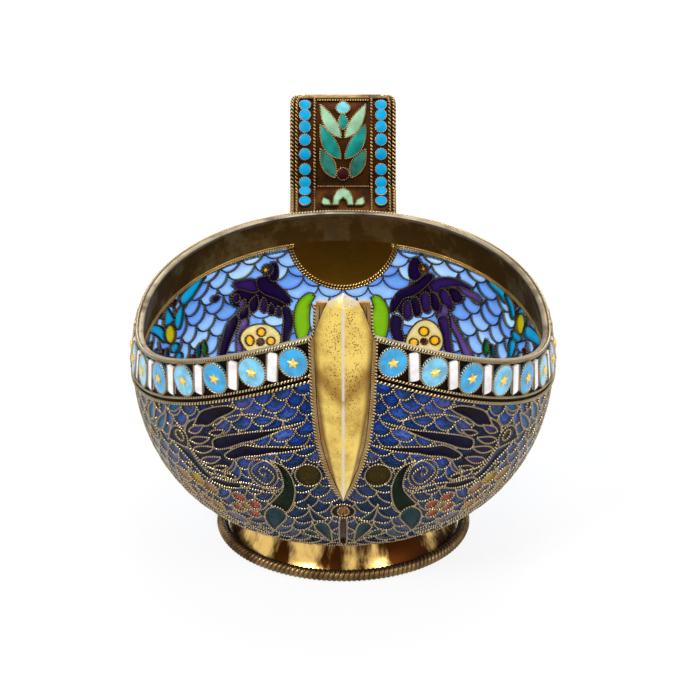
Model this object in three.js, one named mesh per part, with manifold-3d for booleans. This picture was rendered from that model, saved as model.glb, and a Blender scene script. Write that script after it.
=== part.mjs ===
// A kovsh: a small silver-gilt drinking vessel with see-through enamel walls, a solid rim band,
// a keeled prow piece, a raised strap handle and a ring foot.
// Millimetres, +Z up. The prow points to -Y and the handle to +Y. The foot stands on Z = 0.
import * as THREE from "three";
import Module from "manifold-3d";
import { mergeVertices } from "three/addons/utils/BufferGeometryUtils.js";

const wasm = await Module();
wasm.setup();

// Fit between neighbouring pieces, and how far a cut runs past what it cuts
const clearance = 0.25;
const overrun = 2;

// Bowl outline, measured on the outer face
const bowlHalfWidth = 42.9;
const bowlFrontLength = 49;
const bowlBackLength = 48.8;
const bowlBottomRadius = 20.8;
const sideRimHeight = 45.8;
const prowRimRise = 20;
const backRimRise = 4.6;
const wallThickness = 0.9;

// How the wall swells and how the rim line sweeps, as pure shares and powers
const sideBellyShare = 0.785;
const prowBellyShare = 1.3;
const backBellyShare = 0.904;
const bellyPower = 1.9;
const backSquarePower = 2.28;
const sheerRoundShare = 0.335;

// Foot
const footHeight = 6;
const footLedge = 0.4;
const footFlareWidth = 2.8;
const footWall = 0.9;
const footLipWidth = 1.8;
const footLipHeight = 0.9;
const footRopeDiameter = 2.5;
const baseThickness = 0.7;

// Rim band with its row of enamel plaques; its hem rises towards the stern
const bandHeight = 9.3;
const bandHemRise = 2.9;
const bandHemPower = 3.5;
const bandThickness = 1.1;
const rimWireDiameter = 1.1;
const bandWireDiameter = 1;
const plaquesPerSide = 14;
const plaqueTopMargin = 0.35;
const plaqueFootMargin = 2.5;
const plaqueThickness = 0.7;
const plaqueGap = 0.3;
const plaqueLeanShare = 0.55;
const barWidth = 1.9;
const barShortening = 0.1;
const barRaise = 0.6;
const plainEndLength = 6.6;

// Rib wires between the wall panels
const ribDiameter = 1.1;
const frontRibAngle = THREE.MathUtils.degToRad(62);
const backRibAngle = THREE.MathUtils.degToRad(122);

// Prow plate and the keeled beak on it; the beak's facets break at a share of its width and height
const beakWidth = 11.6;
const beakKeelHeight = 3.4;
const beakEdgeHeight = 0.5;
const beakKeelWidth = 0.6;
const beakRise = 9;
const beakFacetWidthShare = 0.55;
const beakFacetHeightShare = 0.6;
const beakTipHeightShare = 0.34;
const prowPlateWidth = 12.4;
const prowPlateThickness = 0.8;
const prowPlateRise = 6.8;
const prowPlateTipHeightShare = 0.325;

// Half-width and keel height against the length from the tip, all as shares of the greatest
const beakOutlineShares = [
  [0, 0.03, 0.2],
  [0.04, 0.12, 0.3],
  [0.1, 0.26, 0.42],
  [0.2, 0.445, 0.58],
  [0.31, 0.62, 0.72],
  [0.41, 0.74, 0.82],
  [0.51, 0.85, 0.9],
  [0.6, 0.915, 0.95],
  [0.68, 0.957, 0.98],
  [0.74, 0.99, 1],
  [0.8, 1, 1],
  [0.84, 0.94, 1],
  [0.885, 0.81, 1],
  [0.93, 0.68, 1],
  [0.965, 0.52, 1],
  [1, 0.03, 0.15],
];
const prowPlateOutlineShares = [
  [0, 0.04],
  [0.05, 0.22],
  [0.1, 0.37],
  [0.2, 0.6],
  [0.33, 0.81],
  [0.43, 0.89],
  [0.53, 0.94],
  [0.65, 0.97],
  [0.75, 0.99],
  [0.82, 1],
  [0.86, 0.86],
  [1, 0.83],
];

// Handle: a hollow strap that leaves the back of the rim, climbs and curls over
const handleWidth = 22.4;
const handleThickness = 3;
const sheetThickness = 0.7;
const shelfLength = 6.6;
const kneeRadius = 2.6;
const panelLength = 7.2;
const bendRadius = 21;
const curlRadius = 4.4;
const tailLength = 2.8;
const shelfSlope = THREE.MathUtils.degToRad(27);
const panelSlope = THREE.MathUtils.degToRad(72);
const crestSlope = THREE.MathUtils.degToRad(48);
const tailSlope = THREE.MathUtils.degToRad(-68);
const handleDrop = 0.5;
const shelfSteps = 2;
const kneeSteps = 3;
const panelSteps = 3;
const bendSteps = 4;
const curlSteps = 7;
const edgeWireDiameter = 1.2;
const innerWireDiameter = 0.8;
const dotColumnWidth = 3.4;
const leafPlaqueThickness = 0.6;
const leafPlaqueMargin = 0.5;
const leafOutlineShares = [
  [0, 0],
  [0.42, 0.02],
  [0.86, 0.16],
  [1, 0.38],
  [0.62, 0.36],
  [0.5, 0.4],
  [0.78, 0.5],
  [1, 0.7],
  [0.6, 0.66],
  [0.5, 0.7],
  [0.9, 0.98],
  [0.4, 0.84],
  [0.3, 0.92],
  [0, 1],
];
const seatRadius = 12;
const seatThickness = 1.1;
const seatDepth = 4.7;
const seatFootShare = 0.3;

// Facets
const wallRows = 8;
const hullSteps = 72;
const footSteps = 48;
const wireSides = 6;
const seatColumns = 16;
const beadSides = 10;
const plaqueSegments = 12;
const barEndSegments = 3;
const bandRows = 2;

// Finishes
const finish = (color, roughness, metalness, extra = {}) =>
  new THREE.MeshStandardMaterial({ color, roughness, metalness, ...extra });
const brightGilt = finish(0xe6c14f, 0.22, 1);
const wireGilt = finish(0xb08a4a, 0.4, 1);
const innerGilt = finish(0x8f7440, 0.38, 1);
const blueEnamel = finish(0x3f62c4, 0.12, 0, { transparent: true, opacity: 0.8 });
const turquoiseEnamel = finish(0x35aee6, 0.15, 0);
const leafEnamel = finish(0x3aa890, 0.18, 0);

const kovsh = new THREE.Group();

// Vector helpers

const vec = (x, y, z) => new THREE.Vector3(x, y, z);

function signedPower(value, power) {
  return Math.sign(value) * Math.abs(value) ** power;
}

// A copy of a shape, moved by a matrix and closed into a solid that can be joined and cut
function solidFrom(geometry, matrix = new THREE.Matrix4()) {
  const bare = geometry.clone().applyMatrix4(matrix);
  for (const name of Object.keys(bare.attributes)) {
    if (name !== "position") bare.deleteAttribute(name);
  }
  const merged = mergeVertices(bare, clearance / 1000);
  return new wasm.Manifold(
    new wasm.Mesh({
      numProp: 3,
      vertProperties: new Float32Array(merged.attributes.position.array),
      triVerts: new Uint32Array(merged.index.array),
    }),
  );
}

function geometryFrom(solid) {
  const mesh = solid.getMesh();
  const geometry = new THREE.BufferGeometry();
  geometry.setAttribute("position", new THREE.BufferAttribute(mesh.vertProperties, mesh.numProp));
  geometry.setIndex(new THREE.BufferAttribute(mesh.triVerts, 1));
  return geometry;
}

function place(name, geometry, material) {
  const shown = geometry.index ? geometry.toNonIndexed() : geometry;
  shown.computeVertexNormals();
  const mesh = new THREE.Mesh(shown, material);
  mesh.name = name;
  kovsh.add(mesh);
  return mesh;
}

// Rings of points, each ring a closed loop, skinned into one closed body.
// A loop of rings has no end caps; otherwise each end is closed by a flat fan.
function skin(rings, looped = false) {
  const sides = rings[0].length;
  const points = rings.flat();
  const index = [];
  const last = looped ? rings.length : rings.length - 1;
  for (let i = 0; i < last; i += 1) {
    const here = i * sides;
    const next = ((i + 1) % rings.length) * sides;
    for (let j = 0; j < sides; j += 1) {
      const k = (j + 1) % sides;
      index.push(here + j, here + k, next + k, here + j, next + k, next + j);
    }
  }
  if (!looped) {
    const end = (rings.length - 1) * sides;
    for (let j = 1; j < sides - 1; j += 1) {
      index.push(0, j + 1, j, end, end + j, end + j + 1);
    }
  }
  const geometry = new THREE.BufferGeometry().setFromPoints(points);
  geometry.setIndex(index);
  return facingOut(geometry);
}

// Turns every face round if the body is inside out
function facingOut(geometry) {
  if (signedVolume(geometry) < 0) {
    const order = geometry.index.array;
    for (let i = 0; i < order.length; i += 3) {
      [order[i + 1], order[i + 2]] = [order[i + 2], order[i + 1]];
    }
  }
  return geometry;
}

function signedVolume(geometry) {
  const p = geometry.attributes.position;
  const order = geometry.index.array;
  let sum = 0;
  const corner = (i) => vec(p.getX(order[i]), p.getY(order[i]), p.getZ(order[i]));
  for (let i = 0; i < order.length; i += 3) {
    sum += corner(i).dot(corner(i + 1).cross(corner(i + 2)));
  }
  return sum;
}

// The hull's outer face

// The wall starts on the base plate, which lies on the foot
const wallFootHeight = footHeight + baseThickness + clearance;

// Height of the rim at an angle a from the prow
function rimHeight(a) {
  const ahead = Math.max(Math.cos(a), 0);
  const astern = Math.max(-Math.cos(a), 0);
  const pointed = 1 - Math.sqrt(1 - ahead ** 2);
  const sheer = (1 - sheerRoundShare) * pointed + sheerRoundShare * ahead ** 2;
  return sideRimHeight + prowRimRise * sheer + backRimRise * astern ** 2;
}

// Share of the height where the wall at angle a is widest
function bellyShare(a) {
  const ahead = Math.max(Math.cos(a), 0);
  const astern = Math.max(-Math.cos(a), 0);
  return (
    sideBellyShare +
    (prowBellyShare - sideBellyShare) * ahead ** 2 +
    (backBellyShare - sideBellyShare) * astern ** 2
  );
}

// A point of the outer face: a is the angle from the prow, t runs from the wall's foot to the rim
function hullPoint(a, t) {
  const fall = THREE.MathUtils.clamp(1 - t / bellyShare(a), -1, 1);
  const swell = (1 - Math.abs(fall) ** bellyPower) ** (1 / bellyPower);
  const length = Math.cos(a) > 0 ? bowlFrontLength : bowlBackLength;
  const power = 2 + (backSquarePower - 2) * swell;
  const square =
    Math.cos(a) > 0
      ? 1
      : (Math.abs(Math.sin(a)) ** power + Math.abs(Math.cos(a)) ** power) ** (-1 / power);
  const across = bowlBottomRadius + (bowlHalfWidth - bowlBottomRadius) * swell;
  const along = bowlBottomRadius + (length - bowlBottomRadius) * swell;
  return vec(
    across * Math.sin(a) * square,
    -along * Math.cos(a) * square,
    wallFootHeight + t * (rimHeight(a) - wallFootHeight),
  );
}

// Unit vector out of the outer face
function hullNormal(a, t) {
  const step = 1e-3;
  const low = Math.max(t, step);
  const east = hullPoint(a + step, low).sub(hullPoint(a - step, low));
  const up = hullPoint(a, low + step).sub(hullPoint(a, low - step));
  return east.cross(up).normalize();
}

// t at a given distance below the rim, measured along the wall
function tBelowRim(a, depth) {
  const steps = 400;
  let walked = 0;
  let here = hullPoint(a, 1);
  for (let i = 1; i <= steps; i += 1) {
    const next = hullPoint(a, 1 - i / steps);
    const stride = next.distanceTo(here);
    if (walked + stride >= depth) return 1 - (i - 1 + (depth - walked) / stride) / steps;
    walked += stride;
    here = next;
  }
  return 0;
}

// t of row v, spread evenly round the swell of the wall between t0 and t1
function rowT(a, t0, t1, v) {
  const belly = bellyShare(a);
  const turn = (t) => Math.acos(signedPower(THREE.MathUtils.clamp(1 - t / belly, -1, 1), bellyPower / 2));
  const angle = turn(t0) + (turn(t1) - turn(t0)) * v;
  return belly * (1 - signedPower(Math.cos(angle), 2 / bellyPower));
}

const onHull = (a, t, out) => hullPoint(a, t).addScaledVector(hullNormal(a, t), out);

// Angle that one millimetre along the hull takes at (a, t)
function anglePerLength(a, t) {
  const step = 1e-3;
  return (2 * step) / hullPoint(a + step, t).distanceTo(hullPoint(a - step, t));
}

// A piece of wall: edgeA0(t), edgeA1(t) are its side edges, t0(a), t1(a) its foot and head
function wallPiece(edgeA0, edgeA1, t0, t1, outer, inner, columns, rows) {
  const rings = [];
  for (let i = 0; i <= columns; i += 1) {
    const outside = [];
    const inside = [];
    for (let j = 0; j <= rows; j += 1) {
      const guess = edgeA0(0.5) + (edgeA1(0.5) - edgeA0(0.5)) * (i / columns);
      const t = rowT(guess, t0(guess), t1(guess), j / rows);
      const a = edgeA0(t) + (edgeA1(t) - edgeA0(t)) * (i / columns);
      outside.push(onHull(a, t, outer));
      inside.push(onHull(a, t, inner));
    }
    rings.push([...outside, ...inside.reverse()]);
  }
  return skinStrips(rings, rows);
}

// Like skin, but each end cap is a strip between the outer and inner rows, so it may be curved
function skinStrips(rings, rows, looped = false) {
  const body = skin(rings, true);
  const sides = rings[0].length;
  const count = rings.length;
  const index = Array.from(body.index.array);
  if (looped) return body;
  const kept = [];
  for (let i = 0; i < index.length; i += 3) {
    const ringOf = (v) => Math.floor(v / sides);
    const trio = [ringOf(index[i]), ringOf(index[i + 1]), ringOf(index[i + 2])];
    const seam = trio.includes(0) && trio.includes(count - 1);
    if (!seam) kept.push(index[i], index[i + 1], index[i + 2]);
  }
  const flip = index[1] === 1 ? 1 : -1;
  const cap = (start, way) => {
    for (let j = 0; j < rows; j += 1) {
      const o0 = start + j;
      const o1 = start + j + 1;
      const i0 = start + sides - 1 - j;
      const i1 = start + sides - 2 - j;
      if (way > 0) kept.push(o0, i1, o1, o0, i0, i1);
      else kept.push(o0, o1, i1, o0, i1, i0);
    }
  };
  cap(0, flip);
  cap((count - 1) * sides, -flip);
  body.setIndex(kept);
  return facingOut(body);
}

// A round wire along a list of places, each { at, across, out } with unit vectors square to its run
function wire(places, radius, looped = false, sides = wireSides) {
  const rings = places.map(({ at, across, out }) =>
    Array.from({ length: sides }, (_, i) => {
      const angle = ((i + 0.5) / sides) * 2 * Math.PI;
      return at
        .clone()
        .addScaledVector(across, radius * Math.cos(angle))
        .addScaledVector(out, radius * Math.sin(angle));
    }),
  );
  return skin(rings, looped);
}

// Places of a wire that runs round the hull; tOf(a) gives its height and out its centre's offset
function roundHull(angles, tOf, out, lift = 0) {
  return angles.map((a) => {
    const t = tOf(a);
    const normal = hullNormal(a, t);
    const step = 1e-3;
    const run = onHull(a + step, tOf(a + step), out).sub(onHull(a - step, tOf(a - step), out)).normalize();
    const up = normal.clone().cross(run).normalize();
    if (up.z < 0) up.negate();
    const at = onHull(a, t, out).addScaledVector(up, lift);
    return { at, across: up, out: run.clone().cross(up).normalize() };
  });
}

const spread = (from, to, count) =>
  Array.from({ length: count + 1 }, (_, i) => from + ((to - from) * i) / count);

// Foot and rope

const footTopRadius = bowlBottomRadius + footLedge;
const footBottomRadius = footTopRadius + footFlareWidth;

// Distance of the foot's outer face from the axis at height z: a hollow curve that flares down
function footFlare(z) {
  const climb = z / footHeight;
  return footTopRadius + (footBottomRadius - footTopRadius) * (1 - climb) ** 2;
}

function buildFoot() {
  const flareSteps = 4;
  const outer = [];
  for (const z of spread(footLipHeight, footHeight, flareSteps)) {
    outer.push(new THREE.Vector2(footFlare(z), z));
  }
  const inner = outer.map((p) => new THREE.Vector2(p.x - footWall, p.y)).reverse();
  const lipInner = footBottomRadius - footLipWidth;
  const profile = [
    new THREE.Vector2(footBottomRadius, 0),
    ...outer,
    ...inner.slice(0, -1),
    new THREE.Vector2(lipInner, footLipHeight),
    new THREE.Vector2(lipInner, 0),
    new THREE.Vector2(footBottomRadius, 0),
  ];
  const lathe = new THREE.LatheGeometry(profile, footSteps);
  lathe.rotateX(Math.PI / 2);
  const ring = geometryFrom(outwardSolid(lathe));
  place("foot_ring", ring, brightGilt);

  const ropeRadius = footRopeDiameter / 2;
  const ropeCentre = footBottomRadius + clearance + ropeRadius;
  const places = spread(0, 2 * Math.PI, hullSteps)
    .slice(0, -1)
    .map((angle) => {
      const out = vec(Math.sin(angle), -Math.cos(angle), 0);
      const at = out.clone().multiplyScalar(ropeCentre).setZ(ropeRadius);
      return { at, across: vec(0, 0, 1), out };
    });
  place("foot_rope", wire(places, ropeRadius, true), wireGilt);

  const plate = new THREE.CylinderGeometry(footTopRadius, footTopRadius, baseThickness, footSteps);
  plate.rotateX(Math.PI / 2);
  plate.translate(0, 0, footHeight + baseThickness / 2);
  place("base_plate", plate, innerGilt);
}

// A closed mesh as a solid, turned inside out first where its faces point inwards
function outwardSolid(geometry) {
  const bare = geometry.clone();
  for (const name of Object.keys(bare.attributes)) {
    if (name !== "position") bare.deleteAttribute(name);
  }
  return solidFrom(facingOut(mergeVertices(bare, clearance / 1000)));
}

// Wall panels and ribs

// Height of the band's sheet at an angle a from the prow
function bandReach(a) {
  const astern = Math.max(-Math.cos(a), 0);
  return bandHeight - bandHemRise * astern ** bandHemPower;
}

const bandFoot = (a) => tBelowRim(a, bandHeight);
const wallHead = (a) => tBelowRim(a, bandReach(a) + clearance);

// A round bar that runs through the stern, centred behind the band
function seatBar(radius) {
  const bar = new THREE.CylinderGeometry(radius, radius, bowlBackLength, footSteps);
  const centre = hullPoint(Math.PI, tBelowRim(Math.PI, seatDepth));
  bar.translate(0, bowlBottomRadius + bowlBackLength / 2, centre.z);
  return solidFrom(bar);
}

function buildWall() {
  const ribs = [
    ["rib_prow", 0],
    ["rib_front_right", frontRibAngle],
    ["rib_back_right", backRibAngle],
    ["rib_stern", Math.PI],
    ["rib_back_left", 2 * Math.PI - backRibAngle],
    ["rib_front_left", 2 * Math.PI - frontRibAngle],
  ];
  const names = [
    "wall_front_right",
    "wall_side_right",
    "wall_back_right",
    "wall_back_left",
    "wall_side_left",
    "wall_front_left",
  ];
  const seatHole = seatBar(seatRadius + clearance);
  const room = ribDiameter / 2 + clearance;
  ribs.forEach(([ribName, a], i) => {
    const places = spread(0, 1, wallRows).map((v) => {
      const t = rowT(a, 0, wallHead(a), v);
      const step = 1e-3;
      const low = Math.max(t, step);
      const normal = hullNormal(a, t);
      const run = onHull(a, low + step, 0).sub(onHull(a, low - step, 0)).normalize();
      const at = onHull(a, t, -wallThickness / 2);
      return { at, across: normal.clone().cross(run).normalize(), out: normal };
    });
    const rib = wire(places, ribDiameter / 2);
    const liftedRib = a === Math.PI ? geometryFrom(outwardSolid(rib).subtract(seatHole)) : rib;
    place(ribName, liftedRib, wireGilt);

    const next = i + 1 < ribs.length ? ribs[i + 1][1] : 2 * Math.PI;
    const columns = Math.max(3, Math.round(((next - a) / (2 * Math.PI)) * hullSteps));
    const from = (t) => a + room * anglePerLength(a, t);
    const to = (t) => next - room * anglePerLength(next, t);
    const panel = wallPiece(from, to, () => 0, wallHead, 0, -wallThickness, columns, wallRows);
    const shaped = names[i].includes("back")
      ? geometryFrom(outwardSolid(panel).subtract(seatHole))
      : panel;
    place(names[i], shaped, blueEnamel);
  });

  const reach = 2 * Math.asin(seatRadius / bowlBackLength);
  const patch = wallPiece(
    () => Math.PI - reach,
    () => Math.PI + reach,
    () => seatFootShare,
    wallHead,
    0,
    -seatThickness,
    seatColumns,
    wallRows,
  );
  place("handle_seat", geometryFrom(outwardSolid(patch).intersect(seatBar(seatRadius))), innerGilt);
}

// Rim band, its wires and its plaques

// How far below the rim the plaques' centres lie, and their half-height
const plaqueDepth = (bandHeight + plaqueTopMargin - plaqueFootMargin) / 2;
const plaqueReach = (bandHeight - plaqueTopMargin - plaqueFootMargin) / 2;

// The line of the plaques on one side, as a table of angle against distance from the prow
function bandRuler() {
  const steps = 720;
  const table = [{ a: 0, s: 0 }];
  const middle = (a) => hullPoint(a, tBelowRim(a, plaqueDepth));
  let before = middle(0);
  let s = 0;
  for (let i = 1; i <= steps; i += 1) {
    const a = (Math.PI * i) / steps;
    const here = middle(a);
    s += here.distanceTo(before);
    table.push({ a, s });
    before = here;
  }
  return table;
}

function angleAt(table, s) {
  const i = Math.max(1, table.findIndex((row) => row.s >= s));
  const low = table[i - 1];
  const high = table[i];
  return low.a + ((high.a - low.a) * (s - low.s)) / (high.s - low.s);
}

// Centres of the plaques along one side, and their width, which fills the band
function plaqueRow(table) {
  const start = prowPlateWidth / 2 + 2 * plaqueGap;
  const end = table[table.length - 1].s - handleWidth / 2 - plainEndLength - plaqueGap;
  const between = barWidth + 2 * plaqueGap;
  const width = (end - start - (plaquesPerSide - 1) * between) / plaquesPerSide;
  const centres = Array.from(
    { length: plaquesPerSide },
    (_, i) => start + width / 2 + i * (width + between),
  );
  return { width, between, centres };
}

// The frame of a plaque that lies flat on the band at angle a, lifted off its face. Its upright
// leans from the wall's own upright towards the square on the band by plaqueLeanShare.
function bandFrame(a, out) {
  const step = 1e-3;
  const middle = (b) => onHull(b, tBelowRim(b, plaqueDepth), out);
  const t = tBelowRim(a, plaqueDepth);
  const normal = hullNormal(a, t);
  const run = middle(a + step).sub(middle(a - step)).normalize();
  const square = normal.clone().cross(run).normalize();
  const upright = hullPoint(a, t + step).sub(hullPoint(a, t - step)).normalize();
  const lean = upright.lerp(square, plaqueLeanShare);
  const east = lean.cross(normal).normalize();
  const up = normal.clone().cross(east);
  return new THREE.Matrix4().makeBasis(east, up, normal).setPosition(middle(a));
}

function buildBand() {
  const angles = spread(0, 2 * Math.PI, hullSteps).slice(0, -1);
  const rings = angles.map((a) => {
    const heads = spread(0, 1, bandRows).map((v) => tBelowRim(a, bandReach(a) * (1 - v)));
    return [
      ...heads.map((t) => onHull(a, t, 0)),
      ...heads.map((t) => onHull(a, t, -bandThickness)).reverse(),
    ];
  });
  let band = outwardSolid(skin(rings, true));

  const table = bandRuler();
  const row = plaqueRow(table);
  const plaqueShape = new THREE.Shape();
  plaqueShape.absellipse(0, 0, row.width / 2, plaqueReach, 0, 2 * Math.PI);
  const plaque = new THREE.ExtrudeGeometry(plaqueShape, {
    depth: plaqueThickness,
    bevelEnabled: false,
    curveSegments: plaqueSegments,
  });
  const barHeight = 2 * (plaqueReach - barShortening);
  const bar = new THREE.ExtrudeGeometry(stadium(barWidth, barHeight), {
    depth: barRaise + bandThickness / 2,
    bevelEnabled: false,
    curveSegments: barEndSegments,
  });
  for (const side of [1, -1]) {
    row.centres.forEach((s, i) => {
      const frame = bandFrame(side * angleAt(table, s), clearance);
      const mesh = place(
        `plaque_${side > 0 ? "right" : "left"}_${String(i + 1).padStart(2, "0")}`,
        plaque.clone(),
        turquoiseEnamel,
      );
      mesh.applyMatrix4(frame);
      if (i + 1 < row.centres.length) {
        const middle = (s + row.centres[i + 1]) / 2;
        const barFrame = bandFrame(side * angleAt(table, middle), -bandThickness / 2);
        band = band.add(outwardSolid(bar.clone().applyMatrix4(barFrame)));
      }
    });
  }
  place("rim_band", geometryFrom(band), innerGilt);

  const wireAngles = spread(0, 2 * Math.PI, hullSteps).slice(0, -1);
  const rimRadius = rimWireDiameter / 2;
  const rimPlaces = roundHull(wireAngles, () => 1, -bandThickness / 2, rimRadius + clearance);
  place("rim_wire", wire(rimPlaces, rimRadius, true), wireGilt);

  const lowRadius = bandWireDiameter / 2;
  const stop = (prowPlateWidth / 2 + lowRadius + clearance) * anglePerLength(0, bandFoot(0));
  const lowAngles = spread(stop, 2 * Math.PI - stop, hullSteps);
  const lowPlaces = roundHull(lowAngles, bandFoot, lowRadius + clearance);
  place("band_wire", wire(lowPlaces, lowRadius), wireGilt);
}

// A bar with rounded ends
function stadium(width, height) {
  const r = width / 2;
  const straight = height / 2 - r;
  const shape = new THREE.Shape();
  shape.absarc(0, straight, r, 0, Math.PI);
  shape.absarc(0, -straight, r, Math.PI, 2 * Math.PI);
  shape.closePath();
  return shape;
}

// Prow

// The keel line of the hull from height share t0 to the rim, carried straight on above it
function keelLine(t0, rise) {
  const steps = 60;
  const line = spread(t0, 1, steps).map((t) => ({
    at: hullPoint(0, t),
    out: hullNormal(0, t).setX(0).normalize(),
  }));
  const top = line[steps];
  const run = top.at.clone().sub(line[steps - 1].at).normalize();
  line.push({ at: top.at.clone().addScaledVector(run, rise), out: top.out });
  return line;
}

// The places along a line of { at, out } that lie at the given shares of its length
function stations(line, shares) {
  const reach = [0];
  for (let i = 1; i < line.length; i += 1) {
    reach.push(reach[i - 1] + line[i].at.distanceTo(line[i - 1].at));
  }
  const total = reach[reach.length - 1];
  return shares.map((share) => {
    const s = share * total;
    const found = reach.findIndex((r) => r >= s);
    const i = found < 1 ? (found === 0 ? 1 : line.length - 1) : found;
    const part = (s - reach[i - 1]) / (reach[i] - reach[i - 1]);
    return {
      at: line[i - 1].at.clone().lerp(line[i].at, part),
      out: line[i - 1].out.clone().lerp(line[i].out, part).normalize(),
      total,
    };
  });
}

function buildProw() {
  const plateShares = prowPlateOutlineShares.map(([share]) => share);
  const plateLine = stations(keelLine(prowPlateTipHeightShare, prowPlateRise), plateShares);
  const plateRings = plateLine.map(({ at, out }, i) => {
    const half = (prowPlateWidth / 2) * prowPlateOutlineShares[i][1];
    const back = at.clone().addScaledVector(out, clearance);
    const front = at.clone().addScaledVector(out, clearance + prowPlateThickness);
    return [
      vec(-half, back.y, back.z),
      vec(half, back.y, back.z),
      vec(half, front.y, front.z),
      vec(-half, front.y, front.z),
    ];
  });
  place("prow_plate", skin(plateRings), wireGilt);

  const seat = 2 * clearance + prowPlateThickness;
  const beakShares = beakOutlineShares.map(([share]) => share);
  const beakLine = stations(keelLine(beakTipHeightShare, beakRise), beakShares);
  const beakRings = beakLine.map(({ at, out }, i) => {
    const half = (beakWidth / 2) * beakOutlineShares[i][1];
    const keel = beakKeelHeight * beakOutlineShares[i][2];
    const edge = Math.min(beakEdgeHeight, keel / 2);
    const breakHeight = edge + (keel - edge) * beakFacetHeightShare;
    const flat = Math.min(beakKeelWidth / 2, (half * beakFacetWidthShare) / 2);
    const level = (x, height) => {
      const p = at.clone().addScaledVector(out, seat + height);
      return vec(x, p.y, p.z);
    };
    return [
      level(-half, 0),
      level(half, 0),
      level(half, edge),
      level(half * beakFacetWidthShare, breakHeight),
      level(flat, keel),
      level(-flat, keel),
      level(-half * beakFacetWidthShare, breakHeight),
      level(-half, edge),
    ];
  });
  place("beak", skin(beakRings), brightGilt);
}

// Handle front, back, cheeks and wires

// The strap's upper face in the YZ plane, from inside the band outwards, with its unit normal
function handleLine() {
  const root = hullPoint(Math.PI, 1);
  const line = [];
  let y = root.y - overrun;
  let z = root.z - handleDrop - overrun * Math.tan(shelfSlope);
  let slope = shelfSlope;
  const put = () => line.push({ at: vec(0, y, z), out: vec(0, -Math.sin(slope), Math.cos(slope)) });
  const straight = (length, count) => {
    for (let i = 0; i < count; i += 1) {
      y += (length / count) * Math.cos(slope);
      z += (length / count) * Math.sin(slope);
      put();
    }
  };
  const turn = (radius, to, count) => {
    const by = (to - slope) / count;
    const chord = 2 * radius * Math.abs(Math.sin(by / 2));
    for (let i = 0; i < count; i += 1) {
      y += chord * Math.cos(slope + by / 2);
      z += chord * Math.sin(slope + by / 2);
      slope += by;
      put();
    }
  };
  put();
  straight(shelfLength + overrun / Math.cos(shelfSlope), shelfSteps);
  turn(kneeRadius, panelSlope, kneeSteps);
  straight(panelLength, panelSteps);
  turn(bendRadius, crestSlope, bendSteps);
  turn(curlRadius, tailSlope, curlSteps);
  straight(tailLength, 1);
  return line;
}

// A sheet across the handle, between two x values and two heights above its upper face
function handleSheet(line, x0, x1, high, low) {
  const rings = line.map(({ at, out }) => {
    const top = at.clone().addScaledVector(out, high);
    const bottom = at.clone().addScaledVector(out, low);
    return [
      vec(x0, top.y, top.z),
      vec(x1, top.y, top.z),
      vec(x1, bottom.y, bottom.z),
      vec(x0, bottom.y, bottom.z),
    ];
  });
  return skin(rings);
}

// The room that the bowl takes, its mouth carried straight up, so the handle's root fits the band
function bowlRoom() {
  const angles = spread(0, 2 * Math.PI, hullSteps).slice(0, -1);
  const heights = spread(0, 1, wallRows).map((v) => rowT(Math.PI, 0, 1, v));
  const rings = heights.map((t) => angles.map((a) => onHull(a, t, clearance)));
  const roof = 2 * rimHeight(0);
  rings.push(rings[wallRows].map((p) => p.clone().setZ(roof)));
  return solidFrom(skin(rings));
}

function buildHandle() {
  const line = handleLine();
  const half = handleWidth / 2;
  const room = bowlRoom();
  const trimmed = (geometry) => {
    const pieces = outwardSolid(geometry).subtract(room).decompose();
    pieces.sort((p, q) => q.volume() - p.volume());
    return geometryFrom(pieces[0]);
  };
  place("handle_front_plate", trimmed(handleSheet(line, -half, half, 0, -sheetThickness)), wireGilt);
  const backTop = sheetThickness - handleThickness;
  place(
    "handle_back_plate",
    trimmed(handleSheet(line, -half, half, backTop, -handleThickness)),
    brightGilt,
  );

  const edgeRadius = edgeWireDiameter / 2;
  const innerRadius = innerWireDiameter / 2;
  const edgeX = half - edgeRadius;
  const innerX = half - edgeWireDiameter - dotColumnWidth - innerRadius;
  const wireAt = (x, radius) => {
    const places = line.map(({ at, out }) => ({
      at: at.clone().addScaledVector(out, radius + clearance).setX(x),
      across: vec(1, 0, 0),
      out,
    }));
    return trimmed(wire(places, radius));
  };
  const sides = { right: 1, left: -1 };
  for (const [hand, side] of Object.entries(sides)) {
    const cheekEdges = [side * half, side * (half - sheetThickness)].sort((p, q) => p - q);
    const cheek = handleSheet(
      line,
      cheekEdges[0],
      cheekEdges[1],
      -(sheetThickness + clearance),
      backTop + clearance,
    );
    place(`handle_cheek_${hand}`, trimmed(cheek), brightGilt);
    place(`handle_edge_wire_${hand}`, wireAt(side * edgeX, edgeRadius), wireGilt);
    place(`handle_inner_wire_${hand}`, wireAt(side * innerX, innerRadius), wireGilt);
  }

  // the bead that closes the curled end
  const end = line[line.length - 1];
  const beadRadius = handleThickness / 2;
  const onward = vec(1, 0, 0).cross(end.out).negate();
  const centre = end.at
    .clone()
    .addScaledVector(end.out, -beadRadius)
    .addScaledVector(onward, beadRadius + clearance);
  const beadPlaces = [-half, half].map((x) => ({
    at: centre.clone().setX(x),
    across: end.out,
    out: onward,
  }));
  place("handle_end_bead", wire(beadPlaces, beadRadius, false, beadSides), brightGilt);
  buildLeafPlaque(line, innerX - innerRadius - leafPlaqueMargin);
}

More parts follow.
